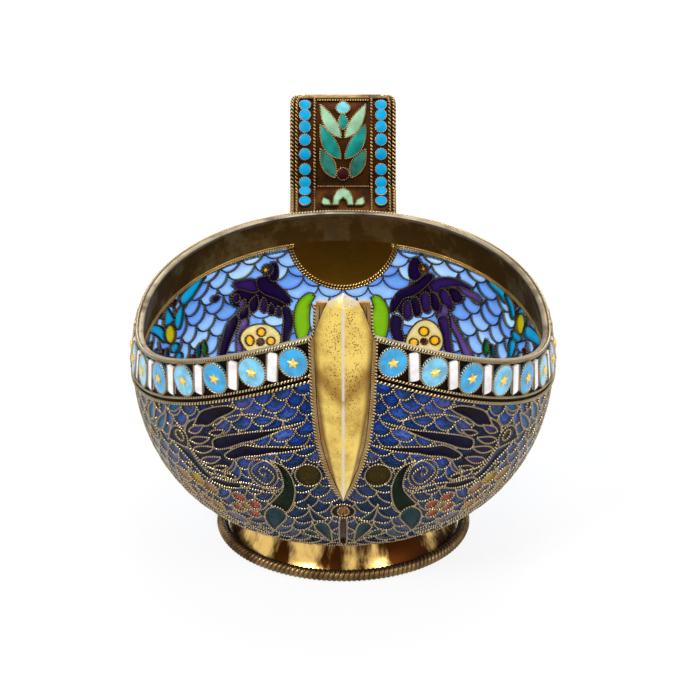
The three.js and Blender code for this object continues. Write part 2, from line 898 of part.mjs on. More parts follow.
// A spray of leaves that bends with the strap between the knee and the curl
function buildLeafPlaque(line, halfWidth) {
  const first = shelfSteps + kneeSteps;
  const panel = line.slice(first, first + panelSteps + bendSteps + 1);
  const length = stations(panel, [0])[0].total - 2 * leafPlaqueMargin;
  const mirrored = leafOutlineShares.slice(1, -1).reverse();
  const outline = [
    ...leafOutlineShares.map(([x, s]) => new THREE.Vector2(x * halfWidth, s * length)),
    ...mirrored.map(([x, s]) => new THREE.Vector2(-x * halfWidth, s * length)),
  ];
  const plaque = new THREE.ExtrudeGeometry(new THREE.Shape(outline), {
    depth: leafPlaqueThickness,
    bevelEnabled: false,
  });
  const corner = plaque.attributes.position;
  for (let i = 0; i < corner.count; i += 1) {
    const share = (corner.getY(i) + leafPlaqueMargin) / (length + 2 * leafPlaqueMargin);
    const [{ at, out }] = stations(panel, [share]);
    at.addScaledVector(out, 2 * clearance + corner.getZ(i));
    corner.setXYZ(i, corner.getX(i), at.y, at.z);
  }
  place("handle_leaf_plaque", geometryFrom(outwardSolid(plaque)), leafEnamel);
}

buildFoot();
buildWall();
buildBand();
buildProw();
buildHandle();

// The frame's origin is the middle of the object's outline on the table
const outline = new THREE.Box3().setFromObject(kovsh);
kovsh.position.y = -(outline.min.y + outline.max.y) / 2;

export default kovsh;
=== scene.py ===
"""Finishes a small silver-gilt kovsh with see-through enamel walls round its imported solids."""

import math
from contextlib import contextmanager
from functools import cache

import bpy
import numpy as np
from bpy.props import FloatProperty, FloatVectorProperty, IntProperty, PointerProperty
from bpy.types import Operator, Panel, PropertyGroup
from mathutils import Matrix, Vector, kdtree


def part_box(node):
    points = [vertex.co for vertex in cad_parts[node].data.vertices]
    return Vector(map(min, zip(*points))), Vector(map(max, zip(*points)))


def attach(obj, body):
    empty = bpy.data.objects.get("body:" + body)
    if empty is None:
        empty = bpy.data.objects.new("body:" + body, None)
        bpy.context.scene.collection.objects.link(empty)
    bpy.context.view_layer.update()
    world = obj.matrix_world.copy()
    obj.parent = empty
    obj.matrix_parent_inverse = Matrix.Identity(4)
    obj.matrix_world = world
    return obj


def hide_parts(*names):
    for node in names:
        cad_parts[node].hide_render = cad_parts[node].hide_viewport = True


bl_info = {
    "name": "Kovsh Finisher",
    "version": (1, 0, 0),
    "blender": (4, 5, 0),
    "location": "View3D > Sidebar > Kovsh",
    "description": "Dresses a kovsh with enamel, twisted wire and gilding",
    "category": "Object",
}

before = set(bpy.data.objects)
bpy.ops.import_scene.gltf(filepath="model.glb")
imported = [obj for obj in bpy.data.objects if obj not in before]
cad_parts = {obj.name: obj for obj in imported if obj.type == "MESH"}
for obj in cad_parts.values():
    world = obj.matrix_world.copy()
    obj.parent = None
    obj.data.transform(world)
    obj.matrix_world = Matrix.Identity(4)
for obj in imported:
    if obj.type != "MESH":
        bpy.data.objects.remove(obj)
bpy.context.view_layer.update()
MM = 0.001

# The two hands of the kovsh and their signs across it
HANDS = (("right", 1), ("left", -1))


# Property helpers


def length(name, description, default):
    """A length property, typed here in millimetres."""
    return FloatProperty(
        name=name, description=description, default=default * MM, unit="LENGTH", precision=5
    )


def share(name, description, default):
    """A pure number property."""
    return FloatProperty(name=name, description=description, default=default, precision=3)


def turn(name, description, degrees):
    """An angle property, typed here in degrees."""
    return FloatProperty(
        name=name, description=description, default=math.radians(degrees), unit="ROTATION"
    )


def tint(name, description, red, green, blue):
    """A colour property, typed here as screen values from 0 to 255."""
    screen = (red / 255, green / 255, blue / 255)
    return FloatVectorProperty(
        name=name, description=description, default=screen, subtype="COLOR_GAMMA", min=0, max=1
    )


class KovshBowl(PropertyGroup):
    """The bowl's outer face and its foot."""

    half_width: length("Half width", "Half the bowl's width on its outer face", 42.9)
    front_length: length("Front length", "From the foot's axis to the rim at the prow", 49)
    back_length: length("Back length", "From the foot's axis to the rim at the stern", 48.8)
    bottom_radius: length("Bottom radius", "Radius of the wall's round foot", 20.8)
    foot_height: length("Wall foot height", "Height of the wall's foot above the table", 6.95)
    side_rim: length("Side rim height", "Height of the rim at the sides", 45.8)
    prow_rise: length("Prow rise", "How far the rim climbs to the prow", 20)
    stern_rise: length("Stern rise", "How far the rim climbs to the stern", 4.6)
    wall: length("Wall thickness", "Thickness of the wall", 0.9)
    side_belly: share("Side belly", "Share of the height where the side is widest", 0.785)
    prow_belly: share("Prow belly", "The same at the prow", 1.3)
    stern_belly: share("Stern belly", "The same at the stern", 0.904)
    belly_power: share("Belly power", "Fullness of the wall's curve", 1.9)
    stern_power: share("Stern power", "Squareness of the stern's plan", 2.28)
    sheer_round: share("Sheer roundness", "Round part of the rim's climb to the prow", 0.335)
    foot_ledge: length("Foot ledge", "How far the foot's head stands out past the wall", 0.4)
    foot_flare: length("Foot flare", "How far the foot spreads down to the table", 2.8)
    foot_wall: length("Foot wall", "Thickness of the foot's sheet", 0.9)
    foot_lip: length("Foot lip", "Width of the foot's turned-in lip", 1.8)
    foot_top: length("Foot height", "Height of the foot's head", 6)
    rope: length("Rope diameter", "Diameter of the rope round the foot", 2.5)
    rope_pitch: length("Rope pitch", "Length of one full turn of the rope", 2.0)
    floor: length("Floor thickness", "Thickness of the plate that closes the bowl", 0.7)


class KovshBand(PropertyGroup):
    """The rim band and what stands on it."""

    height: length("Height", "Height of the band", 9.3)
    hem_rise: length("Hem rise", "How far the hem rises at the stern", 2.9)
    hem_power: share("Hem power", "How late the hem rises towards the stern", 0.85)
    thickness: length("Thickness", "Thickness of the band's sheet", 1.1)
    rim_wire: length("Rim wire", "Height of the plain strip on the edge", 1.1)
    plaques: IntProperty(name="Plaques", description="Plaques on each side", default=14, min=1)
    top_margin: length("Top margin", "From the rim to the plaques", 0.35)
    foot_margin: length("Foot margin", "From the plaques to the band's foot", 2.5)
    plaque: length("Plaque thickness", "How far a plaque stands off the band", 0.7)
    gap: length("Gap", "Gap between a plaque and a bar", 0.3)
    lean: share("Lean", "How far the plaques turn from the wall's upright to the band's", -0.2)
    bar_width: length("Bar width", "Room for a white bar", 1.9)
    bar_spread: length("Bar spread", "How much wider the bar's enamel lies", 0.2)
    bar_shortening: length("Bar shortening", "How much shorter a bar is than a plaque", 0.1)
    bar_raise: length("Bar rise", "How far a bar stands off the band", 0.6)
    plain_end: length("Plain end", "Bare length of the band beside the handle", 6.6)
    seat_radius: length("Seat radius", "Radius of the plain plate behind the handle", 12)
    seat_depth: length("Seat depth", "Depth of that plate's centre below the rim", 4.7)


class KovshProw(PropertyGroup):
    """The prow plate and the beak."""

    beak_width: length("Beak width", "Greatest width of the beak", 11.3)
    keel: length("Keel height", "Height of the beak's ridge off its seat", 3.4)
    edge: length("Edge height", "Height of the beak's edge", 0.5)
    keel_width: length("Keel width", "Width of the ridge's flat", 0.6)
    beak_rise: length("Beak rise", "How far the beak stands above the rim", 9)
    facet_width: share("Facet width", "Where the facets break across the beak", 0.55)
    facet_height: share("Facet height", "Height of that break", 0.6)
    beak_tip: share("Beak tip", "Share of the height where the beak ends", 0.34)
    plate_width: length("Plate width", "Greatest width of the prow plate", 12.4)
    plate: length("Plate thickness", "Thickness of the prow plate", 0.8)
    plate_rise: length("Plate rise", "How far the plate stands above the rim", 6.8)
    plate_tip: share("Plate tip", "Share of the height where the plate ends", 0.325)
    clearance: length("Clearance", "Gap between the prow's layers", 0.25)


class KovshHandle(PropertyGroup):
    """The strap handle."""

    width: length("Width", "Width of the strap", 22.4)
    thickness: length("Thickness", "Thickness of the hollow strap", 3)
    sheet: length("Sheet", "Thickness of its sheet", 0.7)
    shelf: length("Shelf length", "Length of the shelf behind the rim", 6.6)
    knee: length("Knee radius", "Radius of the knee", 2.6)
    panel: length("Panel length", "Straight length above the knee", 7.2)
    bend: length("Bend radius", "Radius of the slow bend", 21)
    curl: length("Curl radius", "Radius of the curl at the top", 4.4)
    tail: length("Tail length", "Straight length after the curl", 2.8)
    shelf_slope: turn("Shelf slope", "Slope of the shelf", 27)
    panel_slope: turn("Panel slope", "Slope of the panel", 72)
    crest_slope: turn("Crest slope", "Slope where the curl starts", 48)
    tail_slope: turn("Tail slope", "Slope where the curl ends", -68)
    drop: length("Drop", "How far the strap starts below the rim", 0.5)
    overrun: length("Overrun", "How far its line starts inside the rim", 2)
    edge_wire: length("Edge wire", "Diameter of the edge wires", 1.2)
    inner_wire: length("Inner wire", "Diameter of the inner wires", 0.8)
    dot_column: length("Dot column", "Width of the columns of dots", 3.4)


class KovshColours(PropertyGroup):
    """The colours of the metals and enamels."""

    gilt: tint("Gilt", "Bright gilding", 232, 192, 112)
    gilt_shade: tint("Gilt shade", "Worn or toned gilding", 150, 106, 44)
    tarnish: tint("Tarnish", "Broad tarnish on the handle", 78, 40, 10)
    # Painted dark reflections on the foot, and the colour of the real pits on the beak
    dark_reflection_and_pits: tint("Dark reflections and pits", "Dark patches on the foot", 58, 28, 6)
    beak: tint("Beak", "Gilding on the beak", 244, 212, 112)
    beak_shade: tint("Beak shade", "Toned gilding on the beak", 186, 146, 62)
    shield: tint("Shield", "Gilding on the prow's shield", 178, 158, 112)
    wire: tint("Wire", "Gilding on the fine twisted wires", 204, 184, 142)
    dull_gilt: tint("Dull wire", "Dull gilding on the handle's wires", 176, 142, 88)
    dull_wire: tint("Thick wire", "Worn gilding on the thick wires", 142, 114, 74)
    groove: tint("Groove", "Dirt in the grooves of the wires", 34, 24, 14)
    inner: tint("Inner gilt", "Dull gilding inside the band", 150, 120, 66)
    lunette: tint("Lunette gilt", "Gilding on the plate behind the handle", 140, 98, 24)
    inner_tarnish: tint("Band tarnish", "Brown tarnish inside the band", 84, 60, 24)
    inner_shade: tint("Inner shade", "Tarnish inside the band", 56, 34, 9)
    ground: tint("Ground", "Darkened metal between the plaques", 30, 20, 14)
    strap: tint("Strap ground", "Amber ground between the strap's enamels", 66, 34, 10)
    rim: tint("Rim", "Plain grey edge of the rim", 146, 132, 108)
    # Partly rubbed-through silver and partly a painted highlight along the beak's ridge
    silver: tint("Silver", "Worn silver on the beak's ridge", 222, 216, 204)
    turquoise: tint("Turquoise", "Plaques of the band", 112, 188, 222)
    azure: tint("Azure", "Deeper plaques of the band", 34, 156, 212)
    white: tint("White", "White bars", 232, 228, 230)
    star: tint("Star", "Gold of the plaques' stars", 255, 216, 110)


# Base colours of the wall's enamels, as screen values from 0 to 255
ENAMELS = {
    "scale": (82, 114, 172),
    "scale_deep": (46, 88, 148),
    "scale_pale": (114, 132, 190),
    # The backlit blues: the same scale enamel painted lighter, as painted light of the backdrop shining
    # through the stern's wall
    "sky": (156, 196, 248),
    "sky_deep": (118, 166, 232),
    "sky_pale": (184, 216, 254),
    "plume": (28, 12, 54),
    "violet": (50, 26, 88),
    "lilac": (104, 78, 150),
    "slate": (40, 50, 86),
    "olive": (104, 88, 2),
    "moss": (10, 60, 4),
    "teal": (0, 94, 116),
    "petrol": (4, 92, 146),
    "cyan": (16, 160, 208),
    "maroon": (104, 12, 20),
    "rose": (246, 150, 118),
    "amber": (232, 176, 104),
    "orange": (255, 202, 30),
    "lemon": (236, 220, 158),
    "mauve": (168, 140, 178),
    "stem": (120, 84, 70),
    "lime": (128, 186, 20),
    "yellow": (190, 180, 14),
    "leaf": (26, 128, 48),
}


def linear(screen):
    """Scene values of a screen colour from 0 to 1."""
    colour = np.asarray(screen, float)
    return np.where(colour <= 0.04045, colour / 12.92, ((colour + 0.055) / 1.055) ** 2.4)


def rgba(screen):
    """A node's colour from a screen colour."""
    return (*linear(screen).tolist(), 1.0)


def chosen(part):
    """The sizes or colours that are chosen for a part."""
    return getattr(bpy.context.scene, "kovsh_" + part)


# Selection, modifiers and hand-over

SAME_SPOT = 1e-6


def deselect_all():
    """Leaves edit mode and selects nothing."""
    if bpy.context.object is not None and bpy.context.object.mode != "OBJECT":
        bpy.ops.object.mode_set(mode="OBJECT")
    bpy.ops.object.select_all(action="DESELECT")


def take_up(piece):
    """Makes a piece the only selected and the active one."""
    deselect_all()
    piece.select_set(True)
    bpy.context.view_layer.objects.active = piece


@contextmanager
def editing(piece, select="SELECT"):
    """Edit mode on a piece, with all or none of its mesh selected."""
    take_up(piece)
    bpy.ops.object.mode_set(mode="EDIT")
    bpy.ops.mesh.select_all(action=select)
    yield
    bpy.ops.object.mode_set(mode="OBJECT")


def draw_up(height):
    """Extrudes what is selected straight up."""
    bpy.ops.mesh.extrude_region_move(TRANSFORM_OT_translate={"value": (0, 0, height)})


def draw_in(width, height):
    """Draws in the edge of the selected face and lifts the face."""
    bpy.ops.mesh.inset(thickness=width)
    bpy.ops.transform.translate(value=(0, 0, height))


def named(name):
    """The piece that was just added, under its name."""
    piece = bpy.context.object
    piece.name = name
    piece.data.name = name
    return piece


def meshed(name, corners, faces):
    """A new piece from corners and faces."""
    mesh = bpy.data.meshes.new(name)
    mesh.from_pydata(corners, [], faces)
    piece = bpy.data.objects.new(name, mesh)
    bpy.context.scene.collection.objects.link(piece)
    return piece


def apply_modifier(piece, kind, **settings):
    """Adds a modifier with its settings and applies it."""
    modifier = piece.modifiers.new(kind.title(), kind)
    for key, value in settings.items():
        setattr(modifier, key, value)
    take_up(piece)
    bpy.ops.object.modifier_apply(modifier=modifier.name)


def bevel(piece, width, degrees, segments=2):
    """Rounds the edges that turn by more than an angle; the width is in millimetres."""
    angle = math.radians(degrees)
    apply_modifier(piece, "BEVEL", width=width * MM, segments=segments, angle_limit=angle)


def thicken(piece, thickness, **settings):
    """Gives a sheet its thickness, inwards."""
    apply_modifier(piece, "SOLIDIFY", thickness=thickness, offset=-1, **settings)


def smooth(piece, degrees=None):
    """Shades a piece smooth, up to a crease angle if one is given."""
    take_up(piece)
    if degrees is None:
        bpy.ops.object.shade_smooth()
    else:
        bpy.ops.object.shade_smooth_by_angle(angle=math.radians(degrees))


def hand_over(piece, slot, *nodes):
    """Fixes a finished piece to the body and hides the solids it stands for."""
    take_up(piece)
    bpy.ops.object.transform_apply(location=True, rotation=True, scale=True)
    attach(piece, "root")
    if nodes:
        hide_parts(*nodes)


def coat(piece, *materials):
    """Puts materials in a piece's slots."""
    piece.data.materials.clear()
    for material in materials:
        piece.data.materials.append(material)


def complete(piece, crease, material, slot, *nodes):
    """Shades a piece up to a crease angle, coats it and hands it over."""
    smooth(piece, crease)
    coat(piece, material)
    hand_over(piece, slot, *nodes)


def join(name, pieces):
    """Joins pieces into one."""
    take_up(pieces[0])
    for piece in pieces[1:]:
        piece.select_set(True)
    bpy.ops.object.join()
    return named(name)


def write_values(piece, name, values):
    """Stores one number for each corner of a piece."""
    attribute = piece.data.attributes.new(name, "FLOAT", "POINT")
    attribute.data.foreach_set("value", np.asarray(values, np.float32))


def corners_of(piece):
    """The corners of a piece as rows of numbers."""
    return np.array([corner.co for corner in piece.data.vertices])


def move_corners(piece, places):
    """Carries a piece's corners to new places."""
    piece.data.vertices.foreach_set("co", places.astype(np.float32).ravel())
    piece.data.update()


# Surfaces from grids


def laid_grid(name, columns, rows, place):
    """A grid whose corners are carried to place(u, v), u across and v along, both from 0 to 1."""
    deselect_all()
    bpy.ops.mesh.primitive_grid_add(x_subdivisions=columns, y_subdivisions=rows, size=1)
    piece = named(name)
    u, v = (np.clip(column + 0.5, 0, 1) for column in corners_of(piece).T[:2])
    move_corners(piece, place(u, v))
    return piece


def face_outward(piece, outward, face=0):
    """Turns an open sheet's faces round if the given face looks against outward."""
    if piece.data.polygons[face].normal.dot(Vector(outward)) < 0:
        with editing(piece):
            bpy.ops.mesh.flip_normals()


def close_up(piece):
    """Merges what coincides, fills open ends and turns the faces outward."""
    with editing(piece):
        bpy.ops.mesh.remove_doubles(threshold=SAME_SPOT)
        bpy.ops.mesh.select_all(action="SELECT")
        bpy.ops.mesh.fill_holes(sides=0)
        bpy.ops.mesh.select_all(action="SELECT")
        bpy.ops.mesh.normals_make_consistent(inside=False)


def loft(name, rings):
    """A closed skin over rings of points; the last ring may repeat the first to close a loop."""
    rings = np.asarray(rings, float)
    stations, sides = rings.shape[:2]

    def place(u, v):
        along = np.rint(v * (stations - 1)).astype(int)
        around = np.rint(u * sides).astype(int) % sides
        return rings[along, around]

    piece = laid_grid(name, sides, stations - 1, place)
    close_up(piece)
    return piece


# Twisted wire


def unit(vectors):
    """Vectors made one long."""
    return vectors / np.linalg.norm(vectors, axis=-1, keepdims=True)


def walked(points):
    """Distance along a line of points."""
    steps = np.linalg.norm(np.diff(points, axis=0), axis=1)
    return np.concatenate([[0.0], np.cumsum(steps)])


def between(at, reach, table):
    """Rows of a table read off at distances along it."""
    return np.stack([np.interp(at, reach, column) for column in table.T], -1)


def evenly(points, outs, stride):
    """A line and its outward directions at even steps of about a stride."""
    reach = walked(points)
    count = max(2, round(reach[-1] / stride))
    at = np.linspace(0, reach[-1], count + 1)
    return between(at, reach, points), unit(between(at, reach, outs)), at


def frames(line, out, looped):
    """Sideways and outward directions square to a line's run."""
    ahead = np.roll(line, -1, 0) - np.roll(line, 1, 0)
    if looped:
        ahead[0] = ahead[-1] = line[1] - line[-2]
    else:
        ahead[0] = line[1] - line[0]
        ahead[-1] = line[-1] - line[-2]
    run = unit(ahead)
    side = unit(np.cross(run, out))
    return side, np.cross(side, run)


TWIST_SIDES = 6
TWIST_SLANT = 1.2
TWIST_SHARE = 0.2
STRIDES_PER_BEAD = 4
STRAND_SIDES = 8
STRAND_STRIDE = 0.2 * MM
STRAND_GROOVE_POWER = 0.45


def ringed(centre, first, second):
    """Rings of points round a line, from how far each stands out in two directions."""
    return centre[:, None] + first + second


def twisted_rings(points, outs, radius, bead, looped=False, twist=TWIST_SHARE):
    """Rings of a fine wire, twisted or plain, and how deep each corner lies in its grooves."""
    line, out, at = evenly(points, outs, bead / STRIDES_PER_BEAD)
    side, lift = frames(line, out, looped)
    angles = (np.arange(TWIST_SIDES) + 0.5) / TWIST_SIDES * math.tau
    turns = max(1, round(at[-1] / bead)) if looped else at[-1] / bead
    phase = math.tau * turns * at[:, None] / at[-1]
    wave = np.cos(TWIST_SLANT * angles[None] - phase) if twist else np.ones((len(at), TWIST_SIDES))
    reach = radius * (1 - twist + twist * wave)
    across = side[:, None] * (reach * np.cos(angles))[..., None]
    up = lift[:, None] * (reach * np.sin(angles))[..., None]
    return ringed(line, across, up), (1 - wave) / 2


def strand_rings(points, outs, radius, pitch, looped=False):
    """Rings of each of the two strands of a thick twisted wire."""
    line, out, at = evenly(points, outs, STRAND_STRIDE)
    side, lift = frames(line, out, looped)
    turns = max(1, round(at[-1] / pitch)) if looped else at[-1] / pitch
    angles = np.arange(STRAND_SIDES) / STRAND_SIDES * math.tau
    strands = []
    for start in (0, math.pi):
        turned = start + math.tau * turns * at / at[-1]
        arm = side * np.cos(turned)[:, None] + lift * np.sin(turned)[:, None]
        swing = lift * np.cos(turned)[:, None] - side * np.sin(turned)[:, None]
        slant = math.pi * radius / pitch
        ahead = unit(np.cross(lift, side) + slant * swing)
        flat = np.cross(ahead, arm)
        outward = arm[:, None] * (radius / 2 * np.cos(angles))[None, :, None]
        sideways = flat[:, None] * (radius / 2 * np.sin(angles))[None, :, None]
        rings = ringed(line + arm * (radius / 2), outward, sideways)
        depth = ((1 - np.cos(angles)) / 2) ** STRAND_GROOVE_POWER
        strands.append((rings, np.broadcast_to(depth, rings.shape[:2])))
    return strands


def wires(name, runs):
    """One mesh of many wires, each run a pair of rings and groove depths; a ring loop closes itself."""
    corners, grooves, faces = [], [], []
    base = 0
    for rings, groove in runs:
        count, sides = rings.shape[:2]
        corners.append(rings.reshape(-1, 3))
        grooves.append(np.asarray(groove).reshape(-1))
        here = base + np.arange(count * sides).reshape(count, sides)
        low, high = here[:-1], here[1:]
        quads = np.stack([low, np.roll(low, -1, 1), np.roll(high, -1, 1), high], -1)
        faces.extend(quads.reshape(-1, 4).tolist())
        if np.linalg.norm(rings[0] - rings[-1]) > 1e-7:
            faces.append(here[0, ::-1].tolist())
            faces.append(here[-1].tolist())
        base += count * sides
    piece = meshed(name, np.concatenate(corners).tolist(), faces)
    write_values(piece, "groove", np.concatenate(grooves))
    with editing(piece):
        bpy.ops.mesh.remove_doubles(threshold=SAME_SPOT)
        bpy.ops.mesh.normals_make_consistent(inside=False)
    smooth(piece)
    return piece


def wired(name, runs, kind, *nodes):
    """A finished piece of many wires in one metal."""
    piece = wires(name, runs)
    coat(piece, metal(kind))
    hand_over(piece, "gilt_wire", *nodes)


# The hull's outer face and its chart


class Hull:
    """The bowl's saddle-shaped outer face. Angles run from the prow, positive to the right."""

    ANGLES = 720
    STEPS = 400
    STRIDE = 0.25 * MM

    def __init__(self, bowl, band):
        self.bowl = bowl
        self.band = band
        low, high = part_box("foot_ring")
        self.centre = (low.y + high.y) / 2
        angles = np.linspace(0, math.tau, self.ANGLES + 1)
        t = np.linspace(0, 1, self.STEPS + 1)
        grid = self.point(angles[:, None], np.broadcast_to(t, (len(angles), len(t))))
        steps = np.linalg.norm(np.diff(grid, axis=1), axis=2)
        rise = np.concatenate([np.zeros((len(angles), 1)), np.cumsum(steps, axis=1)], axis=1)
        reach = np.arange(0, rise[:, -1].max() + self.STRIDE, self.STRIDE)
        self.rises = rise[:, -1]
        self.up = np.array([np.interp(reach, row, t) for row in rise])
        self.down = np.array([np.interp(row[-1] - reach, row, t) for row in rise])

    def rim(self, a):
        """Height of the rim."""
        bowl = self.bowl
        ahead = np.maximum(np.cos(a), 0)
        astern = np.maximum(-np.cos(a), 0)
        pointed = 1 - np.sqrt(np.maximum(1 - ahead**2, 0))
        sheer = (1 - bowl.sheer_round) * pointed + bowl.sheer_round * ahead**2
        return bowl.side_rim + bowl.prow_rise * sheer + bowl.stern_rise * astern**2

    def belly(self, a):
        """Share of the height where the wall is widest."""
        bowl = self.bowl
        ahead = np.maximum(np.cos(a), 0)
        astern = np.maximum(-np.cos(a), 0)
        return (
            bowl.side_belly
            + (bowl.prow_belly - bowl.side_belly) * ahead**2
            + (bowl.stern_belly - bowl.side_belly) * astern**2
        )

    def point(self, a, t):
        """A point of the outer face; t runs from the wall's foot to the rim."""
        bowl = self.bowl
        fall = np.clip(1 - t / self.belly(a), -1, 1)
        swell = np.maximum(1 - np.abs(fall) ** bowl.belly_power, 0) ** (1 / bowl.belly_power)
        reach = np.where(np.cos(a) > 0, bowl.front_length, bowl.back_length)
        power = 2 + (bowl.stern_power - 2) * swell
        squared = (np.abs(np.sin(a)) ** power + np.abs(np.cos(a)) ** power) ** (-1 / power)
        square = np.where(np.cos(a) > 0, 1.0, squared)
        across = bowl.bottom_radius + (bowl.half_width - bowl.bottom_radius) * swell
        along = bowl.bottom_radius + (reach - bowl.bottom_radius) * swell
        height = bowl.foot_height + t * (self.rim(a) - bowl.foot_height)
        x = across * np.sin(a) * square
        y = self.centre - along * np.cos(a) * square
        return np.stack(np.broadcast_arrays(x, y, height), -1)

    def normal(self, a, t):
        """Unit vector out of the outer face."""
        step = 1e-3
        low = np.maximum(t, step)
        east = self.point(a + step, low) - self.point(a - step, low)
        up = self.point(a, low + step) - self.point(a, low - step)
        return unit(np.cross(east, up))

    def place(self, a, t, out=0.0):
        """A point at a distance out of the outer face."""
        return self.point(a, t) + self.normal(a, t) * np.asarray(out)[..., None]

    def look_up(self, table, a, reach):
        """t from a table of angle against distance."""
        column = np.mod(a, math.tau) / (math.tau) * self.ANGLES
        row = np.asarray(reach) / self.STRIDE
        column, row = np.broadcast_arrays(column, row)
        i = np.clip(column.astype(int), 0, table.shape[0] - 2)
        j = np.clip(row.astype(int), 0, table.shape[1] - 2)
        p = column - i
        q = np.clip(row - j, 0, 1)
        low = table[i, j] * (1 - q) + table[i, j + 1] * q
        high = table[i + 1, j] * (1 - q) + table[i + 1, j + 1] * q
        return low * (1 - p) + high * p

    def t_up(self, a, rise):
        """t at a distance up the wall from its foot."""
        return self.look_up(self.up, a, rise)

    def t_below(self, a, depth):
        """t at a distance down the wall from the rim."""
        return self.look_up(self.down, a, depth)

    def rise_below(self, a, depth):
        """Distance up the wall of what lies at a depth below the rim."""
        column = np.mod(a, math.tau) / (math.tau) * self.ANGLES
        return np.interp(column, np.arange(self.ANGLES + 1), self.rises) - depth

    def hem(self, a):
        """Depth of the band's hem below the rim."""
        astern = np.maximum(-np.cos(a), 0)
        return self.band.height - self.band.hem_rise * astern**self.band.hem_power


@cache
def hull():
    """The hull, worked out once."""
    return Hull(chosen("bowl"), chosen("band"))


def round_hull(t_of, out, start=0.0, end=math.tau, lift=0.0, steps=1440):
    """A line round the hull: its points and their outward directions."""
    a = np.linspace(start, end, steps + 1)
    t = t_of(a)
    outs = hull().normal(a, t)
    line = hull().place(a, t, out)
    line[:, 2] += lift
    return line, outs


# Node trees


def feed(node, inputs):
    """Gives a node's inputs their values or the sockets that feed them."""
    for key, value in inputs.items():
        if isinstance(value, bpy.types.NodeSocket):
            node.id_data.links.new(value, node.inputs[key])
        else:
            node.inputs[key].default_value = value


def add(tree, kind, inputs=None, **settings):
    """Adds a node with its settings and feeds its inputs."""
    node = tree.nodes.new(kind)
    for key, value in settings.items():
        setattr(node, key, value)
    feed(node, inputs or {})
    return node


MIX_A, MIX_B, MIX_COLOUR = 6, 7, 2


def mixed(tree, factor, first, second, blend="MIX"):
    """The colour between two colours."""
    inputs = {0: factor, MIX_A: first, MIX_B: second}
    return add(tree, "ShaderNodeMix", inputs, data_type="RGBA", blend_type=blend).outputs[MIX_COLOUR]


def sums(tree, operation, first, second=0.0):
    """The result of a Math node."""
    return add(tree, "ShaderNodeMath", {0: first, 1: second}, operation=operation).outputs[0]


def stretched(tree, value, low, high, to_low=0.0, to_high=1.0):
    """A value carried from one range to another, smoothly."""
    inputs = {"Value": value, "From Min": low, "From Max": high, "To Min": to_low, "To Max": to_high}
    return add(tree, "ShaderNodeMapRange", inputs, interpolation_type="SMOOTHSTEP").outputs["Result"]


def scaled(tree, where, x, y, z):
    """Coordinates times three numbers."""
    return add(tree, "ShaderNodeVectorMath", {0: where, 1: (x, y, z)}, operation="MULTIPLY").outputs[0]


def noise(tree, where, scale, detail, roughness=0.5):
    """Cloudy noise from 0 to 1."""
    inputs = {"Vector": where, "Scale": scale, "Detail": detail, "Roughness": roughness}
    return add(tree, "ShaderNodeTexNoise", inputs).outputs["Fac"]


def specks(tree, where, scale, full, gone):
    """Round specks that are full up to one distance from their middle and gone at another."""
    inputs = {"Vector": where, "Scale": scale, "Randomness": 1.0}
    distance = add(tree, "ShaderNodeTexVoronoi", inputs).outputs["Distance"]
    return stretched(tree, distance, full, gone, 1.0, 0.0)


def attribute(tree, name, output="Fac"):
    """What a piece stores under a name."""
    return add(tree, "ShaderNodeAttribute", attribute_name=name).outputs[output]


def bumped(tree, height, strength, distance):
    """Normals roughened by a height."""
    inputs = {"Strength": strength, "Distance": distance, "Height": height}
    return add(tree, "ShaderNodeBump", inputs).outputs["Normal"]


def new_group(name, inputs, outputs):
    """An empty node group with named sockets, what it takes in and its output node."""
    tree = bpy.data.node_groups.new(name, "ShaderNodeTree")
    for label, kind, default in inputs:
        socket = tree.interface.new_socket(label, in_out="INPUT", socket_type=kind)
        if default is not None:
            socket.default_value = default
    for label, kind in outputs:
        tree.interface.new_socket(label, in_out="OUTPUT", socket_type=kind)
    return tree, tree.nodes.new("NodeGroupInput").outputs, tree.nodes.new("NodeGroupOutput")


COLOUR = "NodeSocketColor"
NUMBER = "NodeSocketFloat"
VECTOR = "NodeSocketVector"
DARKEST = (0.01, 0.007, 0.004, 1)


def patina_group():
    """Cloudy toning over a metal, with small darker flecks."""
    if "Patina" in bpy.data.node_groups:
        return bpy.data.node_groups["Patina"]
    tree, take, made = new_group(
        "Patina",
        [
            ("Vector", VECTOR, None),
            ("Clean", COLOUR, (1, 1, 1, 1)),
            ("Toned", COLOUR, (0, 0, 0, 1)),
            ("Share", NUMBER, 0.5),
            ("Scale", NUMBER, 100.0),
            ("Flecks", NUMBER, 0.0),
            ("Fleck Scale", NUMBER, 900.0),
            ("Soft", NUMBER, 0.22),
        ],
        [("Color", COLOUR), ("Mask", NUMBER)],
    )
    cloud = noise(tree, take["Vector"], take["Scale"], 6.0, 0.62)
    limit = sums(tree, "SUBTRACT", 1.0, take["Share"])
    low = sums(tree, "SUBTRACT", limit, take["Soft"])
    high = sums(tree, "ADD", limit, take["Soft"])
    toned = stretched(tree, cloud, low, high)
    small = specks(tree, take["Vector"], take["Fleck Scale"], 0.12, 0.34)
    patch = stretched(tree, cloud, 0.42, 0.6)
    flecks = sums(tree, "MULTIPLY", sums(tree, "MULTIPLY", small, patch), take["Flecks"])
    colour = mixed(tree, toned, take["Clean"], take["Toned"])
    flecked = mixed(tree, flecks, colour, mixed(tree, 0.75, take["Toned"], DARKEST))
    feed(made, {"Color": flecked, "Mask": sums(tree, "MAXIMUM", toned, flecks)})
    return tree


